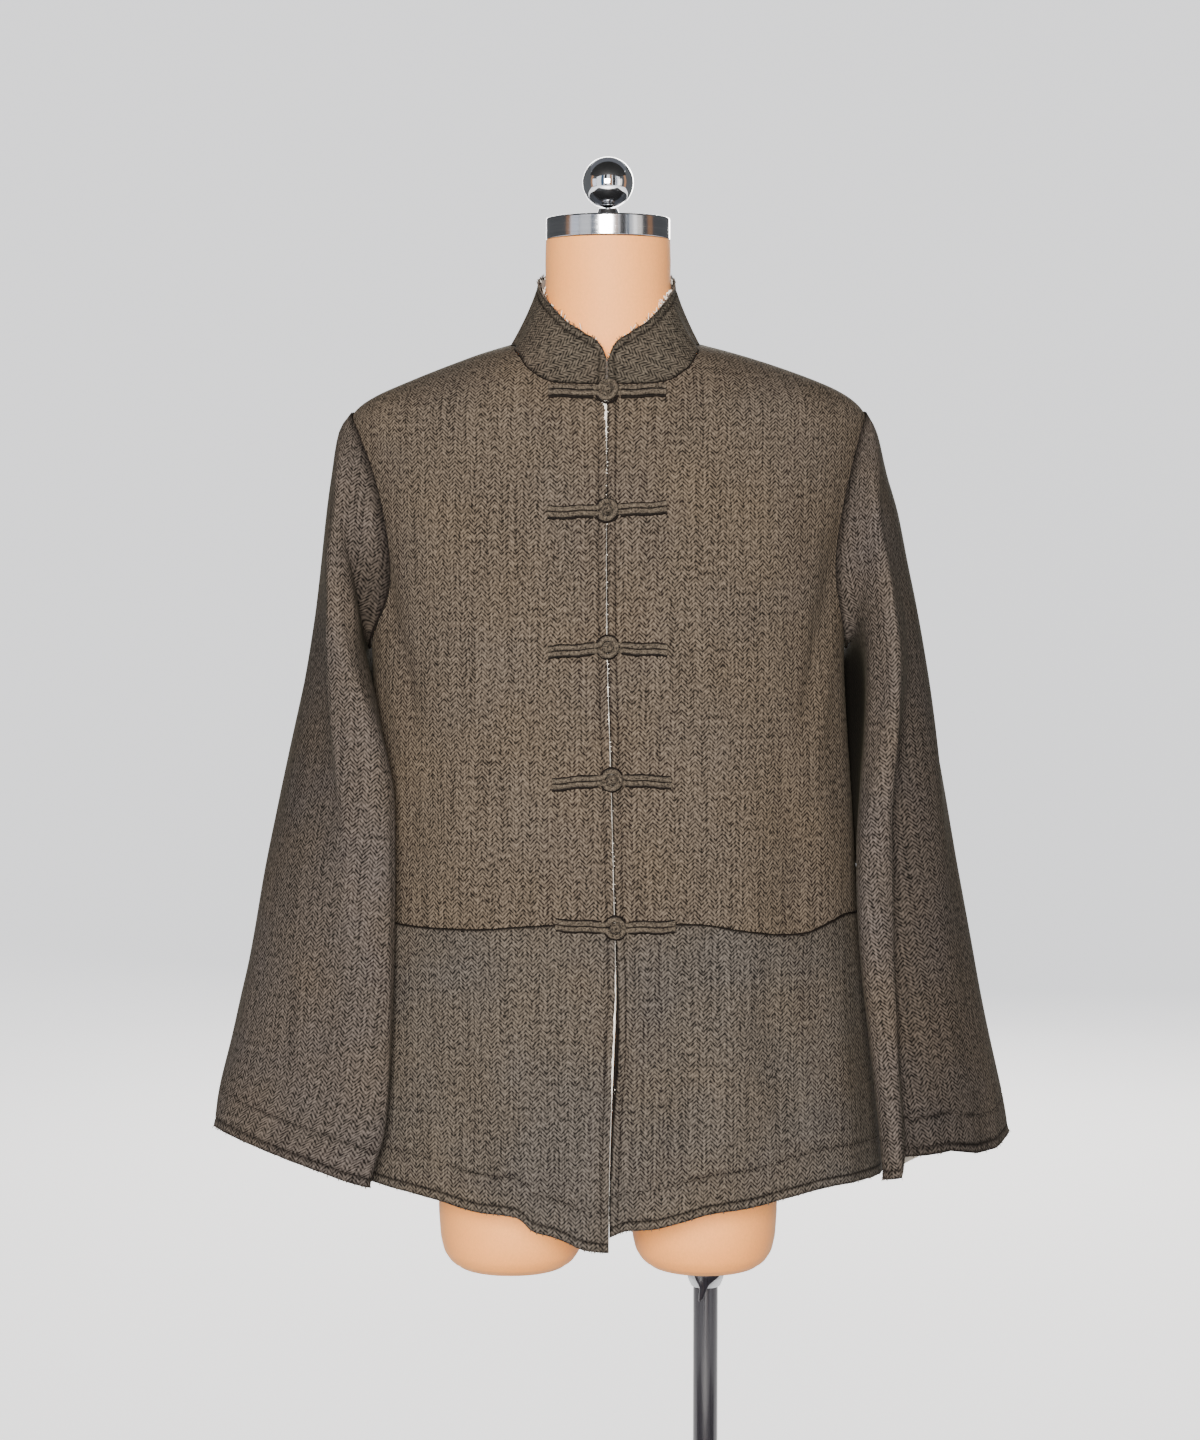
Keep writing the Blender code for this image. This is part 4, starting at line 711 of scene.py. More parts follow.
def herringbone(name, dark, light, cool, warm, offset):
    """Woollen herringbone: soft spun, brushed and matt. The eye gets mixed dark and light yarns in a fine
    zigzag, with faint heather streaks and slow drifts from warm brown to a greyed tone.

    Offset moves the weave, in metres, so that no two panels are cut from the same place."""
    made, tree, shader = finish(name, {
        "Roughness": 0.95, "IOR": 1.5, "Specular IOR Level": 0.08,
        "Sheen Weight": 0.02, "Sheen Roughness": 0.4,
    })
    shader.inputs["Sheen Tint"].default_value = linear("#d9cfae")
    cut = node(tree, "UVMap", {"uv_map": "cut"}).outputs[0]
    moved = node(tree, "Mapping", values={"Location": (offset, offset, 0)}, links={"Vector": cut}).outputs[0]
    parts = node(tree, "SeparateXYZ", links={0: moved}).outputs
    zigzag = node(tree, "Math", {"operation": "PINGPONG"}, {1: TWILL_STRIPE}, {0: parts[0]}).outputs[0]
    loose = node(tree, "TexNoise", values={"Scale": 160.0, "Detail": 1.0}, links={"Vector": moved})
    swing = node(tree, "MapRange", values={3: -0.0008, 4: 0.0008}, links={0: loose.outputs["Fac"]}).outputs[0]
    raised = node(tree, "Math", {"operation": "ADD"}, links={0: zigzag, 1: swing}).outputs[0]
    rise = node(tree, "Math", {"operation": "ADD"}, links={0: raised, 1: parts[1]}).outputs[0]
    waves = node(tree, "Math", {"operation": "MULTIPLY"}, {1: 2 * math.pi / TWILL_PITCH}, {0: rise})
    rib = node(tree, "Math", {"operation": "SINE"}, links={0: waves.outputs[0]}).outputs[0]
    worn_in = node(tree, "TexNoise", values={"Scale": 55.0, "Detail": 2.0}, links={"Vector": moved})
    clear = node(tree, "MapRange", values={1: 0.35, 2: 0.65, 3: RIB_TONE[0], 4: RIB_TONE[1]},
                 links={0: worn_in.outputs["Fac"]})
    ribbed = node(tree, "Math", {"operation": "MULTIPLY"}, links={0: rib, 1: clear.outputs[0]}).outputs[0]
    yarn_place = node(tree, "Mapping", values={"Scale": FLECK}, links={"Vector": moved}).outputs[0]
    yarn = node(tree, "TexNoise", values={"Scale": 1.0, "Detail": 0.0}, links={"Vector": yarn_place})
    flecked = node(tree, "Math", {"operation": "MULTIPLY_ADD"}, {1: 1.3, 2: -0.65},
                   {0: yarn.outputs["Fac"]}).outputs[0]
    streak_place = node(tree, "Mapping", values={"Scale": STREAK}, links={"Vector": moved}).outputs[0]
    streak = node(tree, "TexNoise", values={"Scale": 1.0, "Detail": 2.0}, links={"Vector": streak_place})
    combed = node(tree, "Math", {"operation": "MULTIPLY_ADD"}, {1: 0.80, 2: 0.03},
                  {0: streak.outputs["Fac"]}).outputs[0]
    mixed = node(tree, "Math", {"operation": "ADD"}, links={0: ribbed, 1: flecked}).outputs[0]
    tone = node(tree, "Math", {"operation": "ADD", "use_clamp": True}, links={0: mixed, 1: combed}).outputs[0]
    yarns = node(tree, "Mix", {"data_type": "RGBA"}, {6: linear(dark), 7: linear(light)}, {0: tone})
    patch = node(tree, "TexNoise", values={"Scale": 9.0, "Detail": 3.0}, links={"Vector": moved})
    patches = node(tree, "MapRange", values={1: 0.35, 2: 0.65}, links={0: patch.outputs["Fac"]})
    tint = node(tree, "Mix", {"data_type": "RGBA"}, {6: linear(cool), 7: linear(warm)},
                {0: patches.outputs[0]})
    dyed = node(tree, "Mix", {"data_type": "RGBA", "blend_type": "MULTIPLY"}, {0: 1.0},
                {6: yarns.outputs[2], 7: tint.outputs[2]})
    # Painted shade: a per-point attribute darkens the wool's colour towards near-black in stitch grooves,
    # along cut edges and seams, under the arms, behind the sleeves' ridges and at the pockets' mouths.
    painted_shade = node(tree, "Attribute", {"attribute_name": "painted_shade"}).outputs["Fac"]
    darker = node(tree, "Mix", {"data_type": "RGBA", "blend_type": "MULTIPLY"}, {7: linear("#2a241f")},
                  {0: painted_shade, 6: dyed.outputs[2]})
    nap_bump_and_ridge_shade = node(tree, "Bump", values={"Strength": 0.40, "Distance": 0.0004}, links={"Height": tone})
    wire(shader, {"Base Color": darker.outputs[2], "Normal": nap_bump_and_ridge_shade.outputs[0]})
    return made


def felted_wool(name, dark, light):
    """Felted wool: the back of the double-faced cloth, its bared cut and loose yarns. Matt and fuzzy, with
    clumps of fibre 2.4 mm wide."""
    made, tree, shader = finish(name, {
        "Roughness": 0.92, "IOR": 1.5, "Sheen Weight": 0.2, "Sheen Roughness": 0.5,
    })
    place = node(tree, "TexCoord").outputs["Object"]
    felt = node(tree, "TexNoise", values={"Scale": 420.0, "Detail": 3.0, "Roughness": 0.65},
                links={"Vector": place})
    fibres = node(tree, "Mix", {"data_type": "RGBA"}, {6: linear(dark), 7: linear(light)},
                  {0: felt.outputs["Fac"]})
    matted = node(tree, "Bump", values={"Strength": 0.5, "Distance": 0.0004},
                  links={"Height": felt.outputs["Fac"]})
    wire(shader, {"Base Color": fibres.outputs[2], "Normal": matted.outputs[0]})
    return made


body_wool = herringbone("herringbone_wool_body", "#161310", "#625a50", "#f6f2f0", "#fbf3e9", 0.0)
cream_inside = felted_wool("cream_wool_inside", "#b9b0a0", "#d8d0c3")
cut_edge = felted_wool("cream_cut_edge", "#d9d2c4", "#f4efe6")


def back_grid():
    """(turn, height) of the back's grid, from the wearer's left side to the right."""
    left_turns, left_heights = edge_rows(1)
    right_turns, right_heights = edge_rows(-1)
    shares = np.linspace(1, -1, 133)
    on_left = shares[None, :] > 0
    seam_turn = np.where(on_left, left_turns[:, None], right_turns[:, None])
    edge_height = np.where(on_left, left_heights[:, None], right_heights[:, None])
    centre_height = middle_height(edge_height, BACK_NECK_HEIGHT)
    rise = curve_at(BACK_NECKLINE, np.abs(shares))[None, :, 0]
    height = centre_height + (edge_height - centre_height) * rise
    turn = 180 - shares[None, :] * seam_turn
    for end, towards in ((0, 1), (-1, -1)):
        off_side_seam = np.abs(180 - turn[:, end]) < 180 - SIDE_TURN - 0.1
        turn[:, end] = np.where(off_side_seam, turn[:, end], seam_trim(turn[:, end], height[:, end], towards))
    return turn, height


BACK_NECKLINE = ((0.0, 0.0), (0.25, 0.10), (0.55, 0.45), (0.80, 0.80), (1.0, 1.0))  # turn_share, rise_share
EDGE_STITCH = 0.0075       # a machine stitch this far above the raw hem
HEM_STITCH = 0.0335        # and a line of hand stitches above it
# How a hem's two stitch lines draw it in (reach, depth), how they pucker its edge (period, depth, reach),
# and how much painted shade darkens the lines' grooves and the raw cut (reach, darkness)
BODY_HEM = {
    "edge_groove": (0.0016, 0.0007), "hem_groove": (0.0020, 0.0002), "pucker": (0.031, 0.0004, 0.020),
    "edge_dark": (0.0014, 0.75), "cut_dark": (0.0016, 0.8), "hem_dark": (0.0015, 0.45),
}


def band(distance, place, reach, strength):
    """A soft band at this distance from an edge, such as a groove or a line of painted shade."""
    return strength * np.exp(-(((distance - place) / reach) ** 2))


def pucker(run, period, depth):
    """The small uneven waves of cloth that is drawn up by its stitches."""
    return depth * (np.sin(run * 2 * np.pi / period) + 0.6 * np.sin(run * 2 * np.pi / (period * 1.73) + 1.3))


def stitched_hem(up, run, hem):
    """How a hem swells and dips, and its painted shade, by the ways up from and along its raw edge."""
    relief = -band(up, EDGE_STITCH, *hem["edge_groove"]) - band(up, HEM_STITCH, *hem["hem_groove"])
    period, depth, reach = hem["pucker"]
    relief = relief + pucker(run, period, depth) * band(up, 0, reach, 1)
    shade = band(up, EDGE_STITCH, *hem["edge_dark"]) + band(up, 0, *hem["cut_dark"])
    return relief, shade + band(up, HEM_STITCH, *hem["hem_dark"])


back_turn, back_height = back_grid()
back_points = body_cloth(back_turn, back_height)
back_out = facing(body_cloth, back_turn, back_height, 0.5, 0.0015)
relief, back_shade = stitched_hem(lengths(back_points, 0), lengths(back_points, 1, flat=True), BODY_HEM)
back_points = back_points + relief[..., None] * back_out
LAST_LEVEL_ROW = int(np.argmin(np.abs(edge_rows(1)[1] - LEVEL_UP_TO)))
level_way = level_aside(back_points, LAST_LEVEL_ROW)
across, along = cut_places(back_points, back_out, level_way, back_points.shape[1] // 2)
back = cloth_piece("jacket_back", back_points, back_points - CLOTH * back_out, across, along, back_shade,
                   [body_wool, cream_inside, body_wool])
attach(back, "root")
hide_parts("back")

# ---------------------------------------------------------------- fronts
# The two fronts meet edge to edge at the centre, with no overlap. Their edges are cut raw, so the cream
# back of the cloth shows as a thin line, and a line of stitching runs beside them.
# The neckline, from the centre to the shoulder seam: turn_share, rise_share
FRONT_NECKLINE = ((0, 0), (0.07, 0.004), (0.15, 0.06), (0.24, 0.30), (0.37, 0.63), (0.56, 0.87), (1, 1))
# The opening: height, shift, half_gap
CENTRE_FRONT = (
    (0.66, 0.0005, 0.0002), (0.72, 0.001, 0.0002), (0.78, 0.003, 0.0006), (0.84, 0.006, 0.0013),
    (0.89, 0.0072, 0.0007), (0.93, 0.0062, 0.0002), (1.0, 0.0045, 0.0001), (1.06, 0.003, 0.0001),
    (1.18, -0.0005, 0.0001), (1.409, -0.001, 0.0001),
)
# How far the hem hangs below the side hem: turn, right_front, left_front
HEM_DROP = (
    (0, 0.0392, 0.0262), (2, 0.0385, 0.0213), (5, 0.0365, 0.0203), (8, 0.03, 0.0194), (11, 0.0255, 0.0165),
    (15, 0.0205, 0.012), (17, 0.0122, 0.0095), (20, 0.0095, 0.0072), (27, 0.008, 0.0048),
    (37, 0.001, -0.001), (50, -0.0045, -0.006), (63, -0.006, -0.0052), (75, -0.003, -0.003), (90, 0.0, 0.0),
)
TOPSTITCH = 0.0068         # the stitching beside the front edges
TOPSTITCH_GROOVE = (0.0014, 0.0004)     # reach, depth
TOPSTITCH_DARK = (0.0013, 0.40)         # painted shade in the stitching's groove: reach, darkness
EDGE_PUCKER = (0.043, 0.0004, 0.016)    # period, depth, reach
LEFT_CUT_DARK = {"front": (0.0009, 0.9), "pocket": (0.0012, 0.95)}      # the shaded cut of the left edge
EDGE_ROLL = 0.008          # the outer face is drawn back within this distance of the cut


def shifted_from_centre(sign, turn, height):
    """Turn on the body of a front's points, with the front's centre edge on the opening."""
    shift, half_gap = np.moveaxis(curve_at(CENTRE_FRONT, height), -1, 0)
    ring = curve_at(BODY_RINGS, height)
    edge = sign * (shift - ring[..., 5]) + half_gap
    start = np.degrees(np.arcsin(signed_power(edge / ring[..., 0], ring[..., 3] / 2)))
    return sign * (start + turn / SIDE_TURN * (SIDE_TURN - start))


FRONT_SHARES = np.concatenate((np.linspace(0, 0.05, 15)[:-1], np.linspace(0.05, 1.0, 66)))


def front_grid(sign):
    """(turn, height) of a front's grid, from the centre edge to the side and from hem to shoulder."""
    turns, heights = edge_rows(sign)
    centre_height = middle_height(heights, FRONT_NECK_HEIGHT)[:, None]
    rise = curve_at(FRONT_NECKLINE, FRONT_SHARES)[None, :, 0]
    level = centre_height + (heights[:, None] - centre_height) * rise
    turn = turns[:, None] * FRONT_SHARES[None, :]
    hang = np.maximum(0, (POCKET_HEIGHT - level) / (POCKET_HEIGHT - HEM_HEIGHT))
    level = level - hang**1.5 * curve_at(HEM_DROP, turn)[..., 1 if sign > 0 else 0]
    around = shifted_from_centre(sign, turn, level)
    around[:, -1] = np.where(
        np.abs(around[:, -1]) > SIDE_TURN - 0.1, seam_trim(around[:, -1], level[:, -1], -sign), around[:, -1]
    )
    return turn, around, level


# How far each front's outer face is drawn back from its cut edge, so that the cream shows: height,
# right_front, left_front
DRAWN_BACK = (
    (0.66, 0.0003, 0.0002), (0.72, 0.0004, 0.0003), (0.79, 0.0007, 0.0006), (0.85, 0.0014, 0.001),
    (0.9, 0.0008, 0.0004), (0.935, 0.0005, 0.0002), (0.96, 0.0006, 0.0001), (1.06, 0.0006, 0.0001),
    (1.16, 0.0007, 0.0001), (1.26, 0.0006, 0.0001), (1.36, 0.0007, 0.0001), (1.38, 0.0016, 0.0002),
    (1.393, 0.0026, 0.0003), (1.409, 0.0008, 0.0002),
)


def rolled_edge(sign, points, out, level, run):
    """A front's outer points with its raw edge drawn back unevenly, which bares the cut."""
    drawn = curve_at(DRAWN_BACK, level[:, :1])[..., 0 if sign < 0 else 1]
    drawn = drawn * (1 + 0.25 * np.sin(level[:, :1] * 520) + 0.2 * np.sin(level[:, :1] * 1390 + 1))
    away = unit(points[:, 8:9] - points[:, :1])
    share = np.clip(1 - run / EDGE_ROLL, 0, 1)[..., None] ** 2
    return points + share * (drawn[..., None] * away - 0.0002 * out)


def front_panel(sign, name, outer, inner, out, shade, top_row, wool):
    """A cloth piece that ends at the centre front. The bared cut shows on the wearer's right one alone."""
    across, along = cut_places(outer, out, sign * level_aside(outer, top_row), 0)
    grids = [outer, inner, across, along, shade]
    if sign > 0:
        return cloth_piece(name, *grids, [wool, cream_inside, cut_edge])
    grids = [grid[:, ::-1] for grid in grids]
    return cloth_piece(name, *grids, [wool, cream_inside, cut_edge], edges=(0, 0, 0, 2))


fronts = {}
for sign, side in ((1, "left"), (-1, "right")):
    turn, around, level = front_grid(sign)
    points = body_cloth(around, level)
    out = facing(body_cloth, around, level, 0.5, 0.0015)
    run, up = lengths(points, 1, flat=True), lengths(points, 0)
    relief, shade = stitched_hem(up, run, BODY_HEM)
    relief = relief - band(run, TOPSTITCH, *TOPSTITCH_GROOVE)
    period, depth, reach = EDGE_PUCKER
    relief = relief + pucker(up + 0.01 * sign, period, depth) * band(run, 0, reach, 1)
    shade = np.maximum(shade, band(run, TOPSTITCH, *TOPSTITCH_DARK))
    if sign > 0:
        shade = np.maximum(shade, band(run, 0, *LEFT_CUT_DARK["front"]))
    points = points + relief[..., None] * out
    inside = points - CLOTH * out
    points = rolled_edge(sign, points, out, level, run)
    front = front_panel(sign, f"jacket_front_{side}", points, inside, out, shade, LAST_LEVEL_ROW, body_wool)
    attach(front, "root")
    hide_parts(f"front_{side}")
    fronts[sign] = (turn, around, level, points, out)

# ---------------------------------------------------------------- sleeves
# Each sleeve is one piece, cut wide and straight, sewn into the armhole with no shoulder pad. It hangs
# empty, so it falls flat in a few long pressed folds, and its cuff is cut raw and stitched as the hem is.
SLEEVE_AROUND = 160
BACK_CURL = 0.3            # how much of the curl inwards the back edge has
CALM_ROWS = 3              # the folds grow over this many of the table's rows below the armhole
CALM_PASSES = 30
FRONT_COLUMN = 44          # columns from a sleeve's outer side to its front
CUFF_DRAWN_IN = {-1: 0.015, 1: 0.0}     # how far the front of a cuff is drawn in
CUFF_DRAWN_ROWS = 1.1      # and over how many rows above the hem
CUFF_LIFT_ROWS = 3.5
RIDGE_REACH = (17, 4.5, 15)     # degrees: the crest in front, the crest behind, and the trough behind it
ARMHOLE_DARK = (0.12, 0.85)     # painted shade along the armhole seam: rows, darkness
# In the same terms as BODY_HEM
CUFF_HEM = {
    "edge_groove": (0.0016, 0.0006), "hem_groove": (0.0018, 0.0003), "pucker": (0.028, 0.0003, 0.018),
    "edge_dark": (0.0014, 0.7), "cut_dark": (0.0016, 0.75), "hem_dark": (0.0013, 0.45),
}
# How far the left cuff lifts behind its front roll, where the hem runs level: around, lift
LEFT_CUFF_LIFT = (
    (-60, -0.004), (-25, -0.009), (-4, -0.005), (18, 0.006), (38, 0.009), (52, 0.012), (64, 0.015), (72, 0.0),
    (180, 0.0), (300, -0.004),
)
# Painted shade where the cloth lies crushed under the arm: around, row, half_wide, half_rows, how_dark
UNDERARM = {
    -1: ((184, 5.4, 44, 4.0, 1.2), (130, 1.2, 34, 1.5, 0.45), (160, 2.6, 30, 1.3, 0.8)),
    1: ((190, 6.4, 48, 4.8, 1.25), (168, 2.6, 32, 1.5, 0.45), (172, 6.4, 14, 3.0, 0.9)),
}
# Painted shade behind each ridge, where the sleeve turns from the light: how dark, and down to which row
RIDGE_SHADE = {-1: 0.30, 1: 0.34}
RIDGE_SHADE_TO = {-1: 12.0, 1: 19.0}
# Each section's middle (out, ahead, height), how it is turned in degrees (lean, yaw, dip) and its size
# (half_thick, half_long, curl)
RIGHT_SLEEVE = (
    (0.2235, 0.000, 1.2775, 83, 90, 0, 0.0930, 0.0640, 0.000),
    (0.2285, 0.001, 1.2600, 80, 90, 0, 0.0760, 0.0700, 0.002),
    (0.2320, 0.003, 1.2400, 75, 90, 0, 0.0610, 0.0750, 0.006),
    (0.2350, 0.006, 1.2130, 67, 88, 0, 0.0465, 0.0790, 0.011),
    (0.2370, 0.011, 1.1850, 57, 85, 0, 0.0385, 0.0820, 0.017),
    (0.2395, 0.016, 1.1530, 45, 80, 0, 0.0340, 0.0840, 0.022),
    (0.2420, 0.021, 1.1170, 33, 75, 1, 0.0325, 0.0860, 0.026),
    (0.2445, 0.028, 1.0760, 24, 69, 2, 0.0325, 0.0870, 0.027),
    (0.2485, 0.036, 1.0280, 18, 63, 3, 0.0320, 0.0870, 0.024),
    (0.2530, 0.044, 0.9750, 16, 56, 5, 0.0310, 0.0870, 0.021),
    (0.2565, 0.053, 0.9200, 15, 50, 7, 0.0295, 0.0880, 0.017),
    (0.2600, 0.060, 0.8670, 15, 44, 9, 0.0275, 0.0890, 0.012),
    (0.2640, 0.066, 0.8170, 15, 39, 10, 0.0250, 0.0900, 0.008),
    (0.2685, 0.070, 0.7730, 15, 34, 11, 0.0220, 0.0910, 0.005),
    (0.2720, 0.073, 0.7370, 15, 32, 12, 0.0190, 0.0910, 0.003),
)
LEFT_SLEEVE = (
    (0.2235, 0.000, 1.2775, 83, 90, 0, 0.0920, 0.0650, 0.000),
    (0.2300, 0.001, 1.2600, 80, 90, 0, 0.0750, 0.0710, 0.001),
    (0.2365, 0.002, 1.2400, 75, 90, 0, 0.0615, 0.0750, 0.002),
    (0.2425, 0.003, 1.2130, 67, 90, 0, 0.0465, 0.0780, 0.003),
    (0.2475, 0.004, 1.1850, 57, 90, 0, 0.0380, 0.0800, 0.004),
    (0.2520, 0.006, 1.1530, 45, 88, 0, 0.0330, 0.0810, 0.006),
    (0.2560, 0.010, 1.1170, 33, 84, 0, 0.0310, 0.0815, 0.009),
    (0.2595, 0.015, 1.0760, 24, 78, 1, 0.0310, 0.0820, 0.012),
    (0.2635, 0.021, 1.0280, 18, 71, 2, 0.0310, 0.0820, 0.014),
    (0.2685, 0.027, 0.9750, 15, 65, 3, 0.0305, 0.0820, 0.013),
    (0.2745, 0.032, 0.9200, 14, 60, 4, 0.0300, 0.0820, 0.010),
    (0.2810, 0.036, 0.8670, 13, 56, 5, 0.0290, 0.0820, 0.006),
    (0.2880, 0.040, 0.8170, 13, 52, 6, 0.0280, 0.0820, 0.003),
    (0.2945, 0.043, 0.7730, 13, 49, 7, 0.0270, 0.0830, 0.001),
    (0.2990, 0.045, 0.7370, 13, 47, 7, 0.0260, 0.0840, 0.000),
)
# Broad folds: around (0 outside, 90 in front, 180 by the body), row, around_reach, row_reach, depth.
# Those from 130 to 212 crush the cloth together under the arm.
RIGHT_FOLDS = (
    (48, 4.5, 24, 3.5, 0.0050), (20, 6.0, 26, 3.0, -0.0035), (146, 5.2, 24, 2.4, 0.0060),
    (0, 11.0, 40, 3.0, 0.0030), (300, 8.0, 24, 4.0, -0.0050), (330, 12.0, 24, 3.0, 0.0040),
    (100, 10.0, 9, 4.0, -0.0018), (30, 12.5, 10, 3.0, -0.0016), (340, 6.0, 9, 3.0, -0.0022),
    (270, 11.0, 10, 4.0, 0.0025), (212, 5.2, 28, 2.8, 0.0115),
    (190, 6.8, 22, 2.0, 0.0050), (112, 2.6, 24, 1.6, 0.0070),
)
LEFT_FOLDS = (
    (80, 9.0, 20, 6.0, 0.0040), (46, 10.0, 20, 6.0, -0.0080), (10, 9.0, 26, 5.0, 0.0040),
    (250, 10.0, 24, 4.0, -0.0040), (300, 7.0, 24, 4.0, -0.0045), (335, 12.0, 24, 3.0, 0.0040),
    (20, 13.0, 8, 3.0, -0.0018), (350, 7.0, 9, 3.0, -0.0020), (275, 12.0, 10, 3.0, 0.0025),
    (200, 5.6, 28, 2.6, 0.0170), (196, 8.8, 28, 2.4, 0.0185),
    (200, 4.6, 28, 1.6, 0.0050), (190, 9.6, 28, 2.4, 0.0055), (130, 5.5, 20, 2.4, 0.0075),
)
# The long pressed ridge down each sleeve's front: row, around, lift, and the trough outside it
RIGHT_RIDGE = (
    (0.7, 30, 0.0, 0.0), (1.0, 44, 0.0002, 0.0001), (1.5, 59, 0.001, 0.001), (2.2, 65, 0.0024, 0.0034),
    (3.0, 68, 0.0034, 0.006), (3.7, 70, 0.0036, 0.0072), (4.4, 65, 0.0036, 0.0078),
    (5.6, 52, 0.0036, 0.008), (6.3, 47, 0.0034, 0.0078), (7.0, 45, 0.003, 0.007), (8.2, 46, 0.0022, 0.0052),
    (8.8, 49, 0.0014, 0.0032), (9.5, 50, 0.0006, 0.0014), (10.2, 52, 0.0, 0.0), (15.0, 56, 0.0, 0.0),
)
LEFT_RIDGE = (
    (0.7, 54, 0.0, 0.0), (1.0, 60, 0.0002, 0.0001), (1.5, 68, 0.001, 0.001), (2.2, 76, 0.0022, 0.0028),
    (2.8, 79, 0.0028, 0.003), (3.5, 82, 0.0032, 0.0032), (4.9, 86, 0.0034, 0.0034),
    (6.0, 86, 0.0036, 0.004), (6.8, 82, 0.0038, 0.0052), (8.2, 72, 0.004, 0.0084), (9.6, 61, 0.004, 0.0112),
    (11.3, 63, 0.004, 0.0112), (12.8, 68, 0.0038, 0.0104), (14.1, 70, 0.0034, 0.0086),
    (15.0, 72, 0.0028, 0.0066),
)


def sleeve_section(sign, row):
    """A sleeve's inner points at one row of its table, from its outer side round the front."""
    out, ahead, height, lean, yaw, drop, half_thick, half_long, curl = row
    lean, yaw, drop = np.radians((lean, yaw, drop))
    sideways, facewards = sign * np.sin(yaw), -np.cos(yaw)
    outward = np.array((sideways * np.cos(lean), facewards * np.cos(lean), np.sin(lean)))
    forward = np.array((sign * facewards * np.cos(drop), -np.sin(yaw) * np.cos(drop), -np.sin(drop)))
    angle = 2 * np.pi * np.arange(SLEEVE_AROUND) / SLEEVE_AROUND
    end_curl = np.where(np.sin(angle) > 0, curl, curl * BACK_CURL)
    thick = half_thick * np.cos(angle) - end_curl * np.sin(angle) ** 2
    centre = np.array((sign * out, -ahead, height))
    return centre + thick[:, None] * outward + half_long * np.sin(angle)[:, None] * forward


def armhole_loop(sign):
    """Points and outward directions of the armhole's edge on the body, from the tip round the front."""
    angle = 2 * np.pi * np.arange(SLEEVE_AROUND) / SLEEVE_AROUND
    height = ARMHOLE_MIDDLE + ARMHOLE_HALF * np.cos(angle)
    turn = sign * armhole_turn(height, sign)
    turn = np.where(angle > np.pi, 180 * sign - turn, turn)
    return body_cloth(turn, height), facing(body_cloth, turn, height)


def grid_facing(grid):
    """Directions square to a grid of points whose columns join up."""
    along = np.roll(grid, -1, axis=1) - np.roll(grid, 1, axis=1)
    return unit(np.cross(along, np.gradient(grid, axis=0)))


ROW_STEPS = (3, 4, 5, 6, 7, 8, 9, 10, 12, 13, 13, 13, 12, 11, 10)  # fine rows between the table's rows


def curve_through(spots, places):
    """A smooth curve through these spots, numbered from 0, read at places between them."""
    spots = np.asarray(spots, float)
    keyed = np.concatenate((np.arange(len(spots), dtype=float)[:, None], spots.reshape(len(spots), -1)), 1)
    return curve_at(keyed, places).reshape(len(places), *spots.shape[1:])


def hung_sleeve(sign, table, around):
    """A sleeve's inner points from cuff to armhole before it folds, and each row's place in its table."""
    edge, edge_out = armhole_loop(sign)
    sections = np.array([sleeve_section(sign, row) for row in table])
    away = unit(sections[0] - edge)
    controls = np.concatenate((edge[None] + SEAM_GAP * (edge_out + away / 2), sections))
    between = [np.linspace(k, k + 1, n + 1)[:-1] for k, n in enumerate(ROW_STEPS)]
    fine = np.concatenate(between + [[len(table)]])
    inner, rows = curve_through(controls, fine)[::-1], fine[::-1, None]
    lengthwise = unit(inner[0, SLEEVE_AROUND // 4] - inner[0, 3 * SLEEVE_AROUND // 4])
    front_share = np.maximum(0, np.sin(np.radians(around))) ** 2
    drawn_in = band(rows, len(table), CUFF_DRAWN_ROWS, CUFF_DRAWN_IN[sign]) * front_share
    inner = inner - drawn_in[..., None] * lengthwise
    if sign > 0:
        low_share = np.clip((rows - (len(table) - CUFF_LIFT_ROWS)) / CUFF_LIFT_ROWS, 0, 1) ** 1.5
        lift = np.interp(around, *np.array(LEFT_CUFF_LIFT).T, period=360)
        inner = inner + (low_share * lift)[..., None] * (0.0, 0.0, 1.0)
    return inner, rows


def calmed(out):
    """Outward directions smoothed over the small folds, so that the weave runs evenly across them."""
    for _ in range(CALM_PASSES):
        beside = np.roll(out, 1, axis=1) + np.roll(out, -1, axis=1)
        above = np.concatenate((out[1:], out[-1:])) + np.concatenate((out[:1], out[:-1]))
        out = unit(4 * out + beside + above)
    return out


def half_turned(degrees):
    """Angles brought between -180 and 180 degrees."""
    return (degrees + 180) % 360 - 180


def sleeve_relief(folds, ridge, around, row):
    """How far the sleeve swells or falls in: its broad folds and its pressed ridge."""
    depth = np.zeros(np.broadcast(around, row).shape)
    for fold_around, fold_row, around_reach, row_reach, fold in folds:
        aside = half_turned(around - fold_around)
        depth = depth + fold * np.exp(-((aside / around_reach) ** 2) - ((row - fold_row) / row_reach) ** 2)
    depth = depth * np.minimum(1, row / CALM_ROWS)
    place, lift, trough = np.moveaxis(curve_at(ridge, row), -1, 0)
    aside = half_turned(around - place)
    in_front, at_back, trough_reach = RIDGE_REACH
    crest = lift * np.where(aside > 0, band(aside, 0, in_front, 1), band(aside, 0, at_back, 1))
    behind = np.maximum(0, -aside / trough_reach)
    return depth + crest - trough * behind * np.exp(1 - behind)


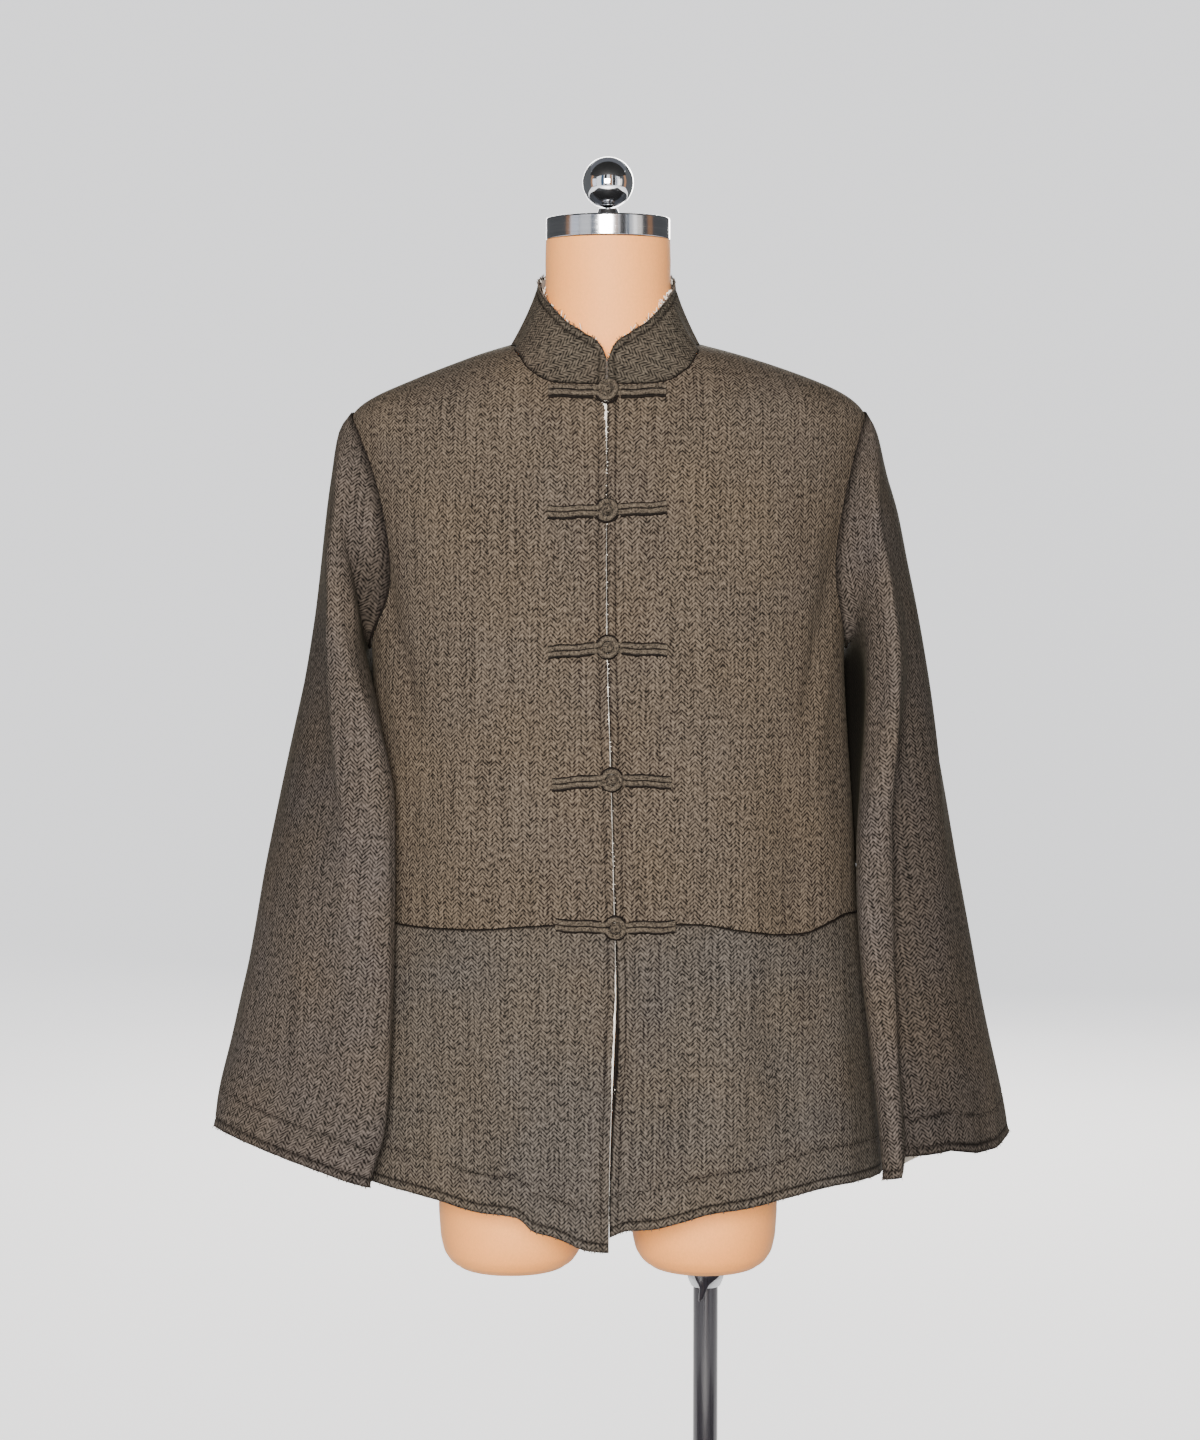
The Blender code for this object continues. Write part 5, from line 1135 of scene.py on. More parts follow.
def sleeve_shade(sign, ridge, around, row, hem_shade):
    """The sleeve's painted shade: at its hem, under the arm, along its seam and behind its ridge."""
    shade = hem_shade
    for place, shade_row, half_wide, half_rows, how_dark in UNDERARM[sign]:
        underarm_shade = np.exp(-(((around - place) / half_wide) ** 4 + ((row - shade_row) / half_rows) ** 4))
        shade = np.maximum(shade, how_dark * underarm_shade)
    behind = half_turned(curve_at(ridge, row)[..., 0] - around)
    nap_bump_and_ridge_shade = np.clip((behind - 2) / 6, 0, 1) * np.clip((110 - behind) / 40, 0, 1) * np.clip(row - 0.5, 0, 1)
    shade = np.maximum(shade, band(row, 0, *ARMHOLE_DARK))
    shade = shade + RIDGE_SHADE[sign] * nap_bump_and_ridge_shade * np.clip((RIDGE_SHADE_TO[sign] - row) / 4, 0, 1)
    return np.minimum(shade, 1)


sleeves = {}
for sign, side, table, folds, ridge in (
    (1, "left", LEFT_SLEEVE, LEFT_FOLDS, LEFT_RIDGE), (-1, "right", RIGHT_SLEEVE, RIGHT_FOLDS, RIGHT_RIDGE)
):
    around = 360 * np.arange(SLEEVE_AROUND)[None, :] / SLEEVE_AROUND
    inner, rows = hung_sleeve(sign, table, around)
    out = -sign * grid_facing(inner)
    calm_out = calmed(out)
    inner = inner + sleeve_relief(folds, ridge, around, rows)[..., None] * out
    out = -sign * grid_facing(inner)
    up = lengths(inner, 0)
    run = lengths(np.concatenate((inner, inner[:, :1]), 1), 1)[:, :-1]
    relief, hem_shade = stitched_hem(up, run, CUFF_HEM)
    inner = inner + relief[..., None] * out
    shade = sleeve_shade(sign, ridge, around, rows, hem_shade)
    half = SLEEVE_AROUND // 2
    order = (sign * (half - np.arange(SLEEVE_AROUND + 1))) % SLEEVE_AROUND
    wide, wide_out, calm = (inner + CLOTH * out)[:, order], out[:, order], calm_out[:, order]
    first, last = table[0], table[-1]
    shoulder_to_cuff = np.array(((last[0] - first[0]) * sign, first[1] - last[1], last[2] - first[2]))
    across, along = cut_places(wide, calm, np.cross(calm, shoulder_to_cuff), half - sign * FRONT_COLUMN)
    wool = herringbone(f"herringbone_wool_sleeve_{side}", "#151310", "#5d564f", "#efeef3", "#f9f2ea",
                       0.31 + 0.17 * sign)
    sleeve = cloth_piece(
        f"jacket_sleeve_{side}", wide[:, :-1], inner[:, order[:-1]], across, along, shade[:, order[:-1]],
        [wool, cream_inside, wool], wrap=True,
    )
    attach(sleeve, "root")
    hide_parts(f"sleeve_{side}")
    sleeves[sign] = (wide, wide_out, up[:, order])

# ---------------------------------------------------------------- collar
# A stand collar: one shaped band of the same wool, sewn to the neckline and rounded at its two front
# corners. Its rim is cut raw and stitched, which rolls it a little, and it has begun to fray.
COLLAR_HALF_WIDTH = 0.0590
COLLAR_FRONT = 0.0640
COLLAR_BACK = 0.0600
COLLAR_SHIFT = -0.0012
COLLAR_STAND_OFF = 0.0006
COLLAR_HOLLOW = 0.0015     # how far the band falls in halfway up
LAID_GAP = 0.0004          # between a piece of cloth and what is laid on it
EDGE_REACH = 0.0008
RIM_STITCH = 0.0072        # the stitching is this far from the rim
RIM_ROLL = (0.0042, 0.0008)             # reach, thickness
RIM_GROOVE = (0.0013, 0.0006)           # reach, depth
RIM_PUCKER = (0.024, 0.00025, 0.010)    # period, depth, reach
RIM_DARK = ((RIM_STITCH, 0.0015, 0.65), (0.0, 0.0022, 0.7))     # painted shade in the stitching's groove and at the rolled rim: place, reach, darkness
NECK_SEAM_DARK = (0.0016, 0.5)          # painted shade along the neck seam: reach, darkness
# One soft upright crease near the collar's right end
CREASE_PLACE = 0.046
CREASE_LEAN = 0.10
CREASE = (0.0030, 0.0014)               # reach, height
CREASE_TALL = 0.045
# turn, height
COLLAR_RIM = (
    (0, 1.452), (17, 1.453), (34, 1.462), (55, 1.479), (75, 1.492), (90, 1.5005), (130, 1.511), (180, 1.515),
)
# turn, share of the band's height that the rounded corner leaves
COLLAR_CORNER = ((0.0, 0.46), (1.5, 0.60), (4.0, 0.74), (8.0, 0.86), (14.0, 0.95), (22.0, 1.0), (180.0, 1.0))
COLLAR_STEPS = 34


def neckline(sign):
    """Points and outward directions along the neckline, from a front's edge to the centre back."""
    rest = slice(1, back_points.shape[1] // 2 + 1)
    return tuple(
        np.concatenate((front_rows[-1], back_rows[-1, ::sign][rest]))
        for front_rows, back_rows in zip(fronts[sign][3:], (back_points, back_out))
    )


def collar_half(sign):
    """Outer points of half of the collar, from the front edge to the centre back, seam to rim."""
    spots, outs = neckline(sign)
    bottom = spots + LAID_GAP * outs
    turn = np.degrees(np.arctan2(np.maximum(0, sign * spots[:, 0] - EDGE_REACH), -spots[:, 1]))
    depth = np.where(turn < 90, COLLAR_FRONT, COLLAR_BACK)
    x = COLLAR_HALF_WIDTH * np.sin(np.radians(turn))
    rim = np.interp(turn, *np.array(COLLAR_RIM).T)
    across = sign * (x + CENTRE_FRONT[-1][2]) + COLLAR_SHIFT
    top = np.stack((across, -depth * np.cos(np.radians(turn)), rim), 1)
    bottom = bottom + COLLAR_STAND_OFF * unit(top - bottom)
    inward = -unit(top * (1, 1, 0))
    share = np.interp(turn, *np.array(COLLAR_CORNER).T)[:, None]
    rise = share * np.linspace(0, 1, COLLAR_STEPS + 1)[None, :]
    stand = bottom[:, None] + (top - bottom)[:, None] * rise[..., None]
    return stand + COLLAR_HOLLOW * 4 * (rise * (1 - rise))[..., None] * inward[:, None]


def unrolled(bottom, top):
    """Flat places of a band's two edges, unrolled strip by strip from its first points."""
    low, high = [np.zeros(2)], [np.array((0.0, np.linalg.norm(top[0] - bottom[0])))]
    for k in range(1, len(bottom)):
        for edge, spot in ((low, bottom[k]), (high, top[k])):
            known = (bottom[k - 1], top[k - 1]) if edge is low else (bottom[k], top[k - 1])
            flat = (low[-1], high[-1])
            far, near = np.linalg.norm(spot - known[0]), np.linalg.norm(spot - known[1])
            base = flat[1] - flat[0]
            span = np.linalg.norm(base)
            along_base = (far**2 - near**2 + span**2) / (2 * span)
            aside = math.sqrt(max(0.0, far**2 - along_base**2))
            base = base / span
            edge.append(flat[0] + along_base * base + aside * np.array((base[1], -base[0])))
    return np.array(low), np.array(high)


def band_cut(face):
    """Across and along places of the band on its flat cut, unrolled both ways from the centre back."""
    middle = face.shape[1] // 2
    halves = []
    for half_face, way in ((face[:, middle::-1], -1), (face[:, middle:], 1)):
        low, high = unrolled(half_face[0], half_face[-1])
        share = lengths(half_face, 0) / lengths(half_face, 0)[-1:]
        halves.append((low[None] + share[..., None] * (high - low)[None]) * (way, 1))
    flat = np.concatenate((halves[0][:, :0:-1], halves[1]), 1)
    return flat[..., 0], flat[..., 1]


left_half, right_half = collar_half(1), collar_half(-1)
collar_face = np.concatenate((left_half, right_half[-2::-1])).transpose(1, 0, 2)
collar_out = unit(np.cross(np.gradient(collar_face, axis=1), np.gradient(collar_face, axis=0)))
up, run = lengths(collar_face, 0), lengths(collar_face, 1, flat=True)
from_rim, from_right = up[-1:] - up, run[:, -1:] - run
from_edge = np.minimum(from_rim, np.minimum(run, from_right) + 0.0004)
roll = band(from_edge, 0, *RIM_ROLL) - band(from_edge, RIM_STITCH, *RIM_GROOVE)
period, depth, reach = RIM_PUCKER
roll = roll + pucker(run, period, depth) * band(from_rim, 0, reach, 1)
soft_crease = band(from_right - CREASE_PLACE - CREASE_LEAN * up, 0, *CREASE)
soft_crease = soft_crease * np.sin(np.pi * np.clip(up / CREASE_TALL, 0, 1))
collar_outer = collar_face + (roll + soft_crease)[..., None] * collar_out
collar_inner = collar_face - CLOTH * collar_out
shade = np.maximum(*(band(from_edge, *line) for line in RIM_DARK))
shade = np.maximum(shade, band(up, 0, *NECK_SEAM_DARK))
collar_wool = herringbone("herringbone_wool_collar", "#141210", "#585149", "#eff2ec", "#f8f2ea", 0.83)
collar = cloth_piece("jacket_collar", collar_outer, collar_inner, *band_cut(collar_face), shade,
                     [collar_wool, cream_inside, collar_wool])
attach(collar, "root")
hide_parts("collar")

# ---------------------------------------------------------------- pockets
# Each pocket is a second layer laid on the lower front, as wide as the front and caught in its edge, side
# seam and hem. Its top edge is raw and hangs slack, so the mouth stands open a little.
# turn, bulge, right_sag, left_sag
POCKET_MOUTH = (
    (0, 0.0, 0.0, 0.0), (9, 0.0, -0.0015, -0.002), (18, 0.0004, 0.0008, -0.0006),
    (27, 0.004, 0.0037, 0.0055), (36, 0.0062, 0.0045, 0.0095), (45, 0.007, 0.0048, 0.01),
    (54, 0.006, 0.0042, 0.004), (63, 0.003, 0.0012, -0.001), (72, 0.0006, 0.0, 0.0), (90, 0.0, 0.0, 0.0),
)
MOUTH_FADE = 0.062         # the mouth's bulge fades out over this height below it
MOUTH_DARK = (0.0012, 0.5)      # painted shade along the pocket's mouth: reach, darkness
GROOVE_SHARE = 0.6         # the stitches dip less in cloth that lies on a second layer
pocket_faces = {}
for sign, side in ((1, "left"), (-1, "right")):
    turn, around, level = fronts[sign][:3]
    rows = int(np.argmin(np.abs(edge_rows(sign)[1] - POCKET_HEIGHT))) + 1
    turn, level = turn[:rows], level[:rows]
    bulge, right_sag, left_sag = np.moveaxis(curve_at(POCKET_MOUTH, turn), -1, 0)
    sag = left_sag if sign > 0 else right_sag
    below = level[-1:] - level
    near = np.clip(1 - below / MOUTH_FADE, 0, 1)
    level = level - sag * near**3
    around = shifted_from_centre(sign, turn, level)
    around[:, -1] = seam_trim(around[:, -1], level[:, -1], -sign)
    out = facing(pocket_cloth, around, level, 0.5, 0.0015)
    inner = pocket_cloth(around, level) + (LAID_GAP + np.maximum(0, bulge) * near**2)[..., None] * out
    run = lengths(inner, 1, flat=True)
    relief, shade = stitched_hem(lengths(inner, 0), run, BODY_HEM)
    relief = relief - band(run, TOPSTITCH, *TOPSTITCH_GROOVE)
    shade = np.maximum(shade, band(run, TOPSTITCH, *TOPSTITCH_DARK))
    if sign > 0:
        shade = np.maximum(shade, band(run, 0, *LEFT_CUT_DARK["pocket"]))
    shade = np.maximum(shade, band(level[-1:] - level, 0, *MOUTH_DARK))
    outer = inner + (CLOTH + np.maximum(0, relief))[..., None] * out
    outer = outer + np.minimum(0, relief)[..., None] * out * GROOVE_SHARE
    wool = herringbone(f"herringbone_wool_pocket_{side}", "#161412", "#5e5850", "#f0f0f4", "#fbf4ec",
                       0.52 + 0.21 * sign)
    outer = rolled_edge(sign, outer, out, level, run)
    pocket = front_panel(sign, f"jacket_pocket_{side}", outer, inner, out, shade, rows, wool)
    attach(pocket, "root")
    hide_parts(f"pocket_{side}")
    pocket_faces[sign] = (outer, out, run, lengths(outer, 0))

# ---------------------------------------------------------------- frog closures
# Five pairs of frogs: a bias strip of the wool, rolled and sewn to a cord, doubled and tacked to the
# front. The right one ends in a loop, and the left one in a ball knot that the loop slips over.
CORD_RADIUS = 0.0021
CORD_SIDES = 12
CORD_WOBBLE = 0.035        # how unevenly the cord is rolled, as a share of its radius
CORD_HOLLOW = 0.0016       # its cut ends are hollow for this depth,
CORD_FLARE = 0.14          # and flare by this share over the next length
CORD_FLARE_REACH = 0.0022
KNOT_RADIUS = 0.0046
KNOT_LIFT = 0.0062
LOOP_RADIUS = KNOT_RADIUS + CORD_RADIUS + 0.0006
LOOP_CLIMB = 2 * CORD_RADIUS + 0.0007   # the loop rises over the other side's cords
BEND_RADIUS = CORD_RADIUS + 0.0003
CORD_APART = 0.00015       # half of the gap between a closure's two cords
STRIP_LENGTH = 0.050
STRIP_SHARE = 0.76         # the straight share of a strip, from its outer end to where it turns
STRIP_SWAY = 0.0005        # how far it sways from a straight line, as it was tacked by hand
POCKET_LIFT = CLOTH + LAID_GAP
# height, loop_rise, button_rise, under
FROGS = (
    (1.4018, 0.0010, 0.0015, 0.0),
    (1.3010, -0.0015, 0.0030, 0.0),
    (1.1865, -0.0045, -0.0025, 0.0),
    (1.0745, -0.0040, -0.0020, 0.0),
    (0.9495, 0.0025, 0.0010, POCKET_LIFT),
)


def on_front(x, height, lift):
    """Points this far off the front of the body, at these distances from the middle."""
    ring = curve_at(BODY_RINGS, height)
    turn = np.degrees(np.arcsin(signed_power((x - ring[..., 5]) / ring[..., 0], ring[..., 3] / 2)))
    return pocket_cloth(turn, height) + np.asarray(lift)[..., None] * facing(pocket_cloth, turn, height)


def smooth_path(spots, steps):
    """A path through these points with this many steps between each two."""
    return curve_through(spots, np.linspace(0, len(spots) - 1, (len(spots) - 1) * steps + 1))


def cord_mesh(path, radius, sides, wobble=0.0, seed=0, hollow=0.0):
    """Points and faces of a round cord along a path. Its ends are flat, or hollow for this depth."""
    ahead = unit(np.gradient(path, axis=0))
    run = lengths(path, 0)
    radii = np.broadcast_to(radius, len(path))
    draw = random.Random(seed)
    phase = [draw.uniform(0, 6.28) for _ in range(2)]
    side = unit(np.cross(ahead[0], (0.0, 0.3, 1.0)))
    points = []
    for k, (spot, forward) in enumerate(zip(path, ahead)):
        side = unit(side - forward * side.dot(forward))
        other = np.cross(forward, side)
        uneven = math.sin(run[k] / 0.0013 + phase[0]) + 0.7 * math.sin(run[k] / 0.0029 + phase[1])
        swell = 1 + wobble * uneven
        if hollow:
            near_end = min(run[k], run[-1] - run[k])
            swell += CORD_FLARE * math.exp(-((near_end / CORD_FLARE_REACH) ** 2))
        for i in range(sides):
            angle = 2 * math.pi * i / sides
            points.append(spot + radii[k] * swell * (math.cos(angle) * side + math.sin(angle) * other))
    if not hollow:
        return points, capped_faces(len(path), sides)
    faces, last = ring_faces(len(path), sides), len(points) - sides
    for start, spot, inward, way in ((0, path[0], ahead[0], 1), (last, path[-1], -ahead[-1], -1)):
        rim = np.array(points[start:start + sides])
        begin = len(points)
        points += list(spot + (rim - spot) * 0.58 + inward * 0.0002)
        points += list(spot + (rim - spot) * 0.45 + inward * hollow)
        for ring, inner_ring in ((start, begin), (begin, begin + sides)):
            for i in range(sides):
                j = (i + 1) % sides
                faces.append((ring + i, inner_ring + i, inner_ring + j, ring + j)[::way])
        faces.append(tuple(begin + sides + i for i in range(sides))[::-way])
    return points, faces


def on_strip(sign, run, aside, lift, knot_height, rise):
    """Points on the front at these ways along a frog's strip, beside its middle and off the cloth."""
    knot_x = float(curve_at(CENTRE_FRONT, knot_height)[0])
    sway = STRIP_SWAY * np.sin(run / 0.0052 + knot_height * 90) * np.clip((run - 0.012) / 0.01, 0, 1)
    height = knot_height + aside + sway + rise * np.maximum(0, run) / STRIP_LENGTH
    return on_front(knot_x + sign * run, height, lift)


def frog_path(sign, knot_height, rise, under, turn_steps):
    """A doubled cord's path: in along its strip, round by the centre front, and out again."""
    lane = CORD_RADIUS + CORD_APART
    spots = [(STRIP_LENGTH * (1 - i / 3 * STRIP_SHARE), lane, 0.0) for i in range(4)]
    path = spots + turn_steps + [(along_strip, -aside, 0.0) for along_strip, aside, _ in reversed(spots)]
    run, aside, lift = smooth_path(path, 8).T
    return on_strip(sign, run, aside, CORD_RADIUS + LAID_GAP + under + lift, knot_height, rise)


# Dark silk lines along a strip, between its cords and on either side, as couching and painted shadow:
# aside, lift, radius
COUCHING_AND_SHADOW = (
    (0.0, CORD_RADIUS + 0.0008, 0.0010), (-2 * CORD_RADIUS - 0.0006, 0.0006, 0.0015),
    (2 * CORD_RADIUS + 0.0004, 0.0004, 0.0009),
)
COUCHING_AND_SHADOW_RUN = np.linspace(0.0115, STRIP_LENGTH, 40)
LOOP_COUCHING_AND_SHADOW = (0.0003, 0.0010, 0.0012)    # a dark silk ring round the loop, painted shadow round its cord: its gap to the cord, lift, radius
loop_end = []
for angle in [math.radians(24 + (360 - 48) * i / 10) for i in range(11)]:
    lift = LOOP_CLIMB * ((1 - math.cos(angle)) / 2) ** 1.3
    loop_end.append((LOOP_RADIUS * math.cos(angle), LOOP_RADIUS * math.sin(angle), lift))
button_end = [
    (BEND_RADIUS * math.cos(angle), BEND_RADIUS * math.sin(angle), 0.0)
    for angle in map(math.radians, (90, 125, 157, 180, 203, 235, 270))
]

# Rolled bias cord: the same yarns, but twisted tight and handled, so it is darker and shows its turns.
cord_wool, tree, shader = finish("bias_rolled_wool_cord", {
    "Roughness": 0.9, "Sheen Weight": 0.03, "Sheen Roughness": 0.4, "Specular IOR Level": 0.12,
})
place = node(tree, "TexCoord").outputs["Object"]
strands = node(tree, "TexNoise", values={"Scale": 620.0, "Detail": 2.0, "Roughness": 0.7},
               links={"Vector": place})
spread = node(tree, "MapRange", values={1: 0.32, 2: 0.68}, links={0: strands.outputs["Fac"]})
twist = node(tree, "Mix", {"data_type": "RGBA"}, {6: linear("#0c0907"), 7: linear("#5c5347")},
             {0: spread.outputs[0]})
rough = node(tree, "Bump", values={"Strength": 0.6, "Distance": 0.0005},
             links={"Height": strands.outputs["Fac"]})
wire(shader, {"Base Color": twist.outputs[2], "Normal": rough.outputs[0]})

# Silk thread: dyed dark to the cloth and sunk in it, so nearly all of its lustre is lost. The same near-black
# serves as painted shadow in the frogs' outlines and knots, the seams, the front gap and the pockets' mouths.
silk_and_shadow, tree, shader = finish("dark_silk_and_painted_shadow", {"Roughness": 0.8, "Specular IOR Level": 0.08})
place = node(tree, "TexCoord").outputs["Object"]
dye = node(tree, "TexNoise", values={"Scale": 300.0, "Detail": 1.0}, links={"Vector": place})
silk_and_shadow_tone = node(tree, "Mix", {"data_type": "RGBA"}, {6: linear("#080605"), 7: linear("#17120e")},
                 {0: dye.outputs["Fac"]})
wire(shader, {"Base Color": silk_and_shadow_tone.outputs[2]})

KNOT_STEPS = 150
KNOT_CORD = 0.00118        # the radius of the cord where it is drawn tight in the knot
KNOT_CORE = KNOT_RADIUS - 0.0013


def knot_wraps(centre, out):
    """The path of the cord that is woven over and under itself into a ball."""
    t = np.linspace(0, 2 * np.pi, KNOT_STEPS)
    radius = KNOT_RADIUS - KNOT_CORD + 0.00035 * np.sin(8 * t)
    longitude = 3 * t
    latitude = 1.05 * np.sin(4 * t)
    side = unit(np.cross(out, (0.0, 0.0, 1.0)))
    up_axis = np.cross(side, out)
    ball_point = (
        np.cos(latitude)[:, None] * (np.cos(longitude)[:, None] * side + np.sin(longitude)[:, None] * up_axis)
        + np.sin(latitude)[:, None] * out
    )
    return centre + radius[:, None] * ball_point


def joined_mesh(parts):
    """Several lists of points and faces as one."""
    points, faces = [], []
    for part_points, part_faces in parts:
        faces += [tuple(len(points) + i for i in face) for face in part_faces]
        points += list(part_points)
    return points, faces


def ball_mesh(centre, radius, rings, sides):
    """Points and faces of a small ball."""
    points = []
    for k in range(rings + 1):
        angle = math.pi * (k + 0.02 * (k == 0) - 0.02 * (k == rings)) / rings
        for i in range(sides):
            turn = 2 * math.pi * i / sides
            points.append(centre + radius * np.array((
                math.sin(angle) * math.cos(turn), math.sin(angle) * math.sin(turn), -math.cos(angle)
            )))
    return points, capped_faces(rings + 1, sides)


def rolled_cord(path, seed):
    """A frog's cord along a path, with the unevenness of rolling and its hollow cut ends."""
    return cord_mesh(path, CORD_RADIUS, CORD_SIDES, CORD_WOBBLE, seed, CORD_HOLLOW)


for number, (knot_height, loop_rise, button_rise, under) in enumerate(FROGS, 1):
    loop = rolled_cord(frog_path(-1, knot_height, loop_rise, under, loop_end), number)
    loop_piece = add_piece(f"frog_loop_cord_{number}", *loop, [cord_wool], 60)
    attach(loop_piece, "root")
    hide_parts(f"frog_loop_{number}")
    strip = rolled_cord(frog_path(1, knot_height, button_rise, under, button_end), 10 + number)
    knot_x = curve_at(CENTRE_FRONT, knot_height)[0]
    knot_at = on_front(knot_x, np.array(knot_height), KNOT_LIFT + under)
    knot_out = unit(knot_at - on_front(knot_x, np.array(knot_height), 0.0))
    wraps = cord_mesh(knot_wraps(knot_at, knot_out), KNOT_CORD, 8, 0.0, number)
    # The knot's core is near-black silk that shows between the cord's wraps as painted shade.
    core = ball_mesh(knot_at, KNOT_CORE, 10, 16)
    button = joined_mesh((strip, wraps, core))
    button_piece = add_piece(f"frog_button_cord_{number}", *button, [cord_wool, silk_and_shadow], 60)
    in_core = np.zeros(len(button_piece.data.polygons), int)
    in_core[-len(core[1]):] = 1
    button_piece.data.polygons.foreach_set("material_index", in_core)
    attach(button_piece, "root")
    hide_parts(f"frog_button_{number}")
    # Dark silk couching round each frog, which also paints the shadow under and between its cords
    couching_and_shadow = []
    for sign, rise in ((-1, loop_rise), (1, button_rise)):
        for aside, lift, radius in COUCHING_AND_SHADOW:
            path = on_strip(sign, COUCHING_AND_SHADOW_RUN, aside, under + lift, knot_height, rise)
            couching_and_shadow.append(cord_mesh(path, radius, 6, 0.2, 30 + number))
    ring, (ring_gap, lift, radius) = np.radians(np.arange(0, 366, 15)), LOOP_COUCHING_AND_SHADOW
    reach = LOOP_RADIUS + CORD_RADIUS + ring_gap
    ring_path = on_front(knot_x + reach * np.cos(ring), knot_height + reach * np.sin(ring), under + lift)
    couching_and_shadow.append(cord_mesh(ring_path, radius, 6, 0.2, 40 + number))
    couching_and_shadow_piece = add_piece(f"frog_couching_and_shadow_line_{number}", *joined_mesh(couching_and_shadow), [silk_and_shadow], 60)
    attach(couching_and_shadow_piece, "root")

# ---------------------------------------------------------------- stitches
# Buttonhole silk runs in slanted ticks beside the front edges, the collar's rim and the raw hems, where it
# keeps the edges from fraying. A line of smaller hand stitches runs above each hem.
SILK_RADIUS = 0.00033
TICK_SIDES = 5
TICK_SINK = 0.0004         # a stitch's ends go this far into the cloth
# One stitch of each line: gap, length, slant, lift
FRONT_TICKS = (0.0042, 0.0030, 0.0014, 0.0001)
EDGE_TICKS = (0.0044, 0.0032, 0.0008, 0.0001)
HEM_TICKS = (0.0056, 0.0032, 0.0, 0.0002)
RIM_TICKS = (0.0044, 0.0030, 0.0008, 0.0001)


def grid_at(grid, row, column):
    """Values between the points of a grid, at arrays of row and column places."""
    r = np.clip(np.floor(row).astype(int), 0, grid.shape[0] - 2)
    c = np.clip(np.floor(column).astype(int), 0, grid.shape[1] - 2)
    a, b = row - r, column - c
    if grid.ndim > 2:
        a, b = a[:, None], b[:, None]
    low = grid[r, c] * (1 - b) + grid[r, c + 1] * b
    high = grid[r + 1, c] * (1 - b) + grid[r + 1, c + 1] * b
    return low * (1 - a) + high * a


def ticks(starts, ends, outs, lift):
    """Points and faces of short stitches, each one rising out of the cloth and going in again."""
    shares, heights = (0.0, 0.22, 0.78, 1.0), (-TICK_SINK, lift, lift, -TICK_SINK)
    points, faces = [], []
    for start, end, out in zip(starts, ends, outs):
        along = unit(end - start)
        side = np.cross(out, along)
        first = len(points)
        for share, height in zip(shares, heights):
            spot = start + (end - start) * share + out * height
            for i in range(TICK_SIDES):
                angle = 2 * math.pi * i / TICK_SIDES
                points.append(spot + SILK_RADIUS * (math.cos(angle) * side + math.sin(angle) * out))
        faces += [face[::-1] for face in capped_faces(len(shares), TICK_SIDES, first)]
    return points, faces


def row_stitches(points, out, up, height, gap, length, slant, lift, columns=None):
    """Stitches along a grid's rows, this far up from its bottom edge. Slant moves their ends up."""
    spots = np.arange(points.shape[1]) if columns is None else np.arange(*columns)
    rows = np.array([np.interp(height, up[:, c], np.arange(len(up))) for c in spots])
    line = grid_at(points, rows, spots.astype(float))
    run = lengths(line, 0)
    places = np.arange(gap / 2, run[-1] - length, gap)
    draw = random.Random(int(height * 1e5) + len(places))
    places = places + np.array([draw.uniform(-0.12, 0.12) * gap for _ in places])
    ends = []
    for shift, rise in ((0.0, 0.0), (length, slant)):
        column = np.interp(places + shift, run, spots)
        row = np.interp(column, spots, rows)
        beside = [grid_at(points, row + half, column) for half in (0.5, -0.5)]
        step = np.linalg.norm(beside[0] - beside[1], axis=-1)
        ends.append((row + rise / step, column))
    return grid_at(points, *ends[0]), grid_at(points, *ends[1]), grid_at(out, *ends[0]), lift


def edge_stitches(sign, points, out, run, low, high):
    """The top stitching up a front's centre edge between two heights."""
    gap, length, slant, lift = FRONT_TICKS
    slant = slant * sign
    edge_up = lengths(points[:, :1], 0)[:, 0]
    start, end = [np.interp(height, points[:, 0, 2], edge_up) for height in (low, high)]
    places = np.arange(start, end, gap)
    ends = []
    for shift, aside in ((0.0, -slant / 2), (length, slant / 2)):
        row = np.interp(places + shift, edge_up, np.arange(len(edge_up)))
        column = [np.interp(TOPSTITCH + aside, run[int(round(r))], np.arange(run.shape[1])) for r in row]
        ends.append((row, np.array(column)))
    return grid_at(points, *ends[0]), grid_at(points, *ends[1]), grid_at(out, *ends[0]), lift


def stitch_piece(name, *lines):
    """Several lines of stitches as one piece."""
    made = add_piece(name, *joined_mesh([ticks(*line) for line in lines]), [silk_and_shadow], 60)
    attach(made, "root")


def hem_stitches(name, points, out, up):
    """A raw hem's two lines of stitches."""
    stitch_piece(name, row_stitches(points, out, up, EDGE_STITCH, *EDGE_TICKS),
                 row_stitches(points, out, up, HEM_STITCH, *HEM_TICKS))


for sign, side in ((1, "left"), (-1, "right")):
    points, out = fronts[sign][3:]
    run = lengths(points, 1, flat=True)
    lower_points, lower_out, lower_run, lower_up = pocket_faces[sign]
    stitch_piece(
        f"front_edge_stitches_{side}",
        edge_stitches(sign, points, out, run, POCKET_HEIGHT + 0.008, FRONT_NECK_HEIGHT - 0.004),
        edge_stitches(sign, lower_points, lower_out, lower_run, HEM_HEIGHT - 0.02, POCKET_HEIGHT - 0.005),
    )
    hem_stitches(f"front_hem_stitches_{side}", lower_points, lower_out, lower_up)
    hem_stitches(f"cuff_stitches_{side}", *sleeves[sign])
hem_stitches("back_hem_stitches", back_points, back_out, lengths(back_points, 0))
down = collar_outer[::-1]
stitch_piece("collar_rim_stitches", row_stitches(
    down, collar_out[::-1], lengths(down, 0), RIM_STITCH, *RIM_TICKS, (6, down.shape[1] - 6)
))

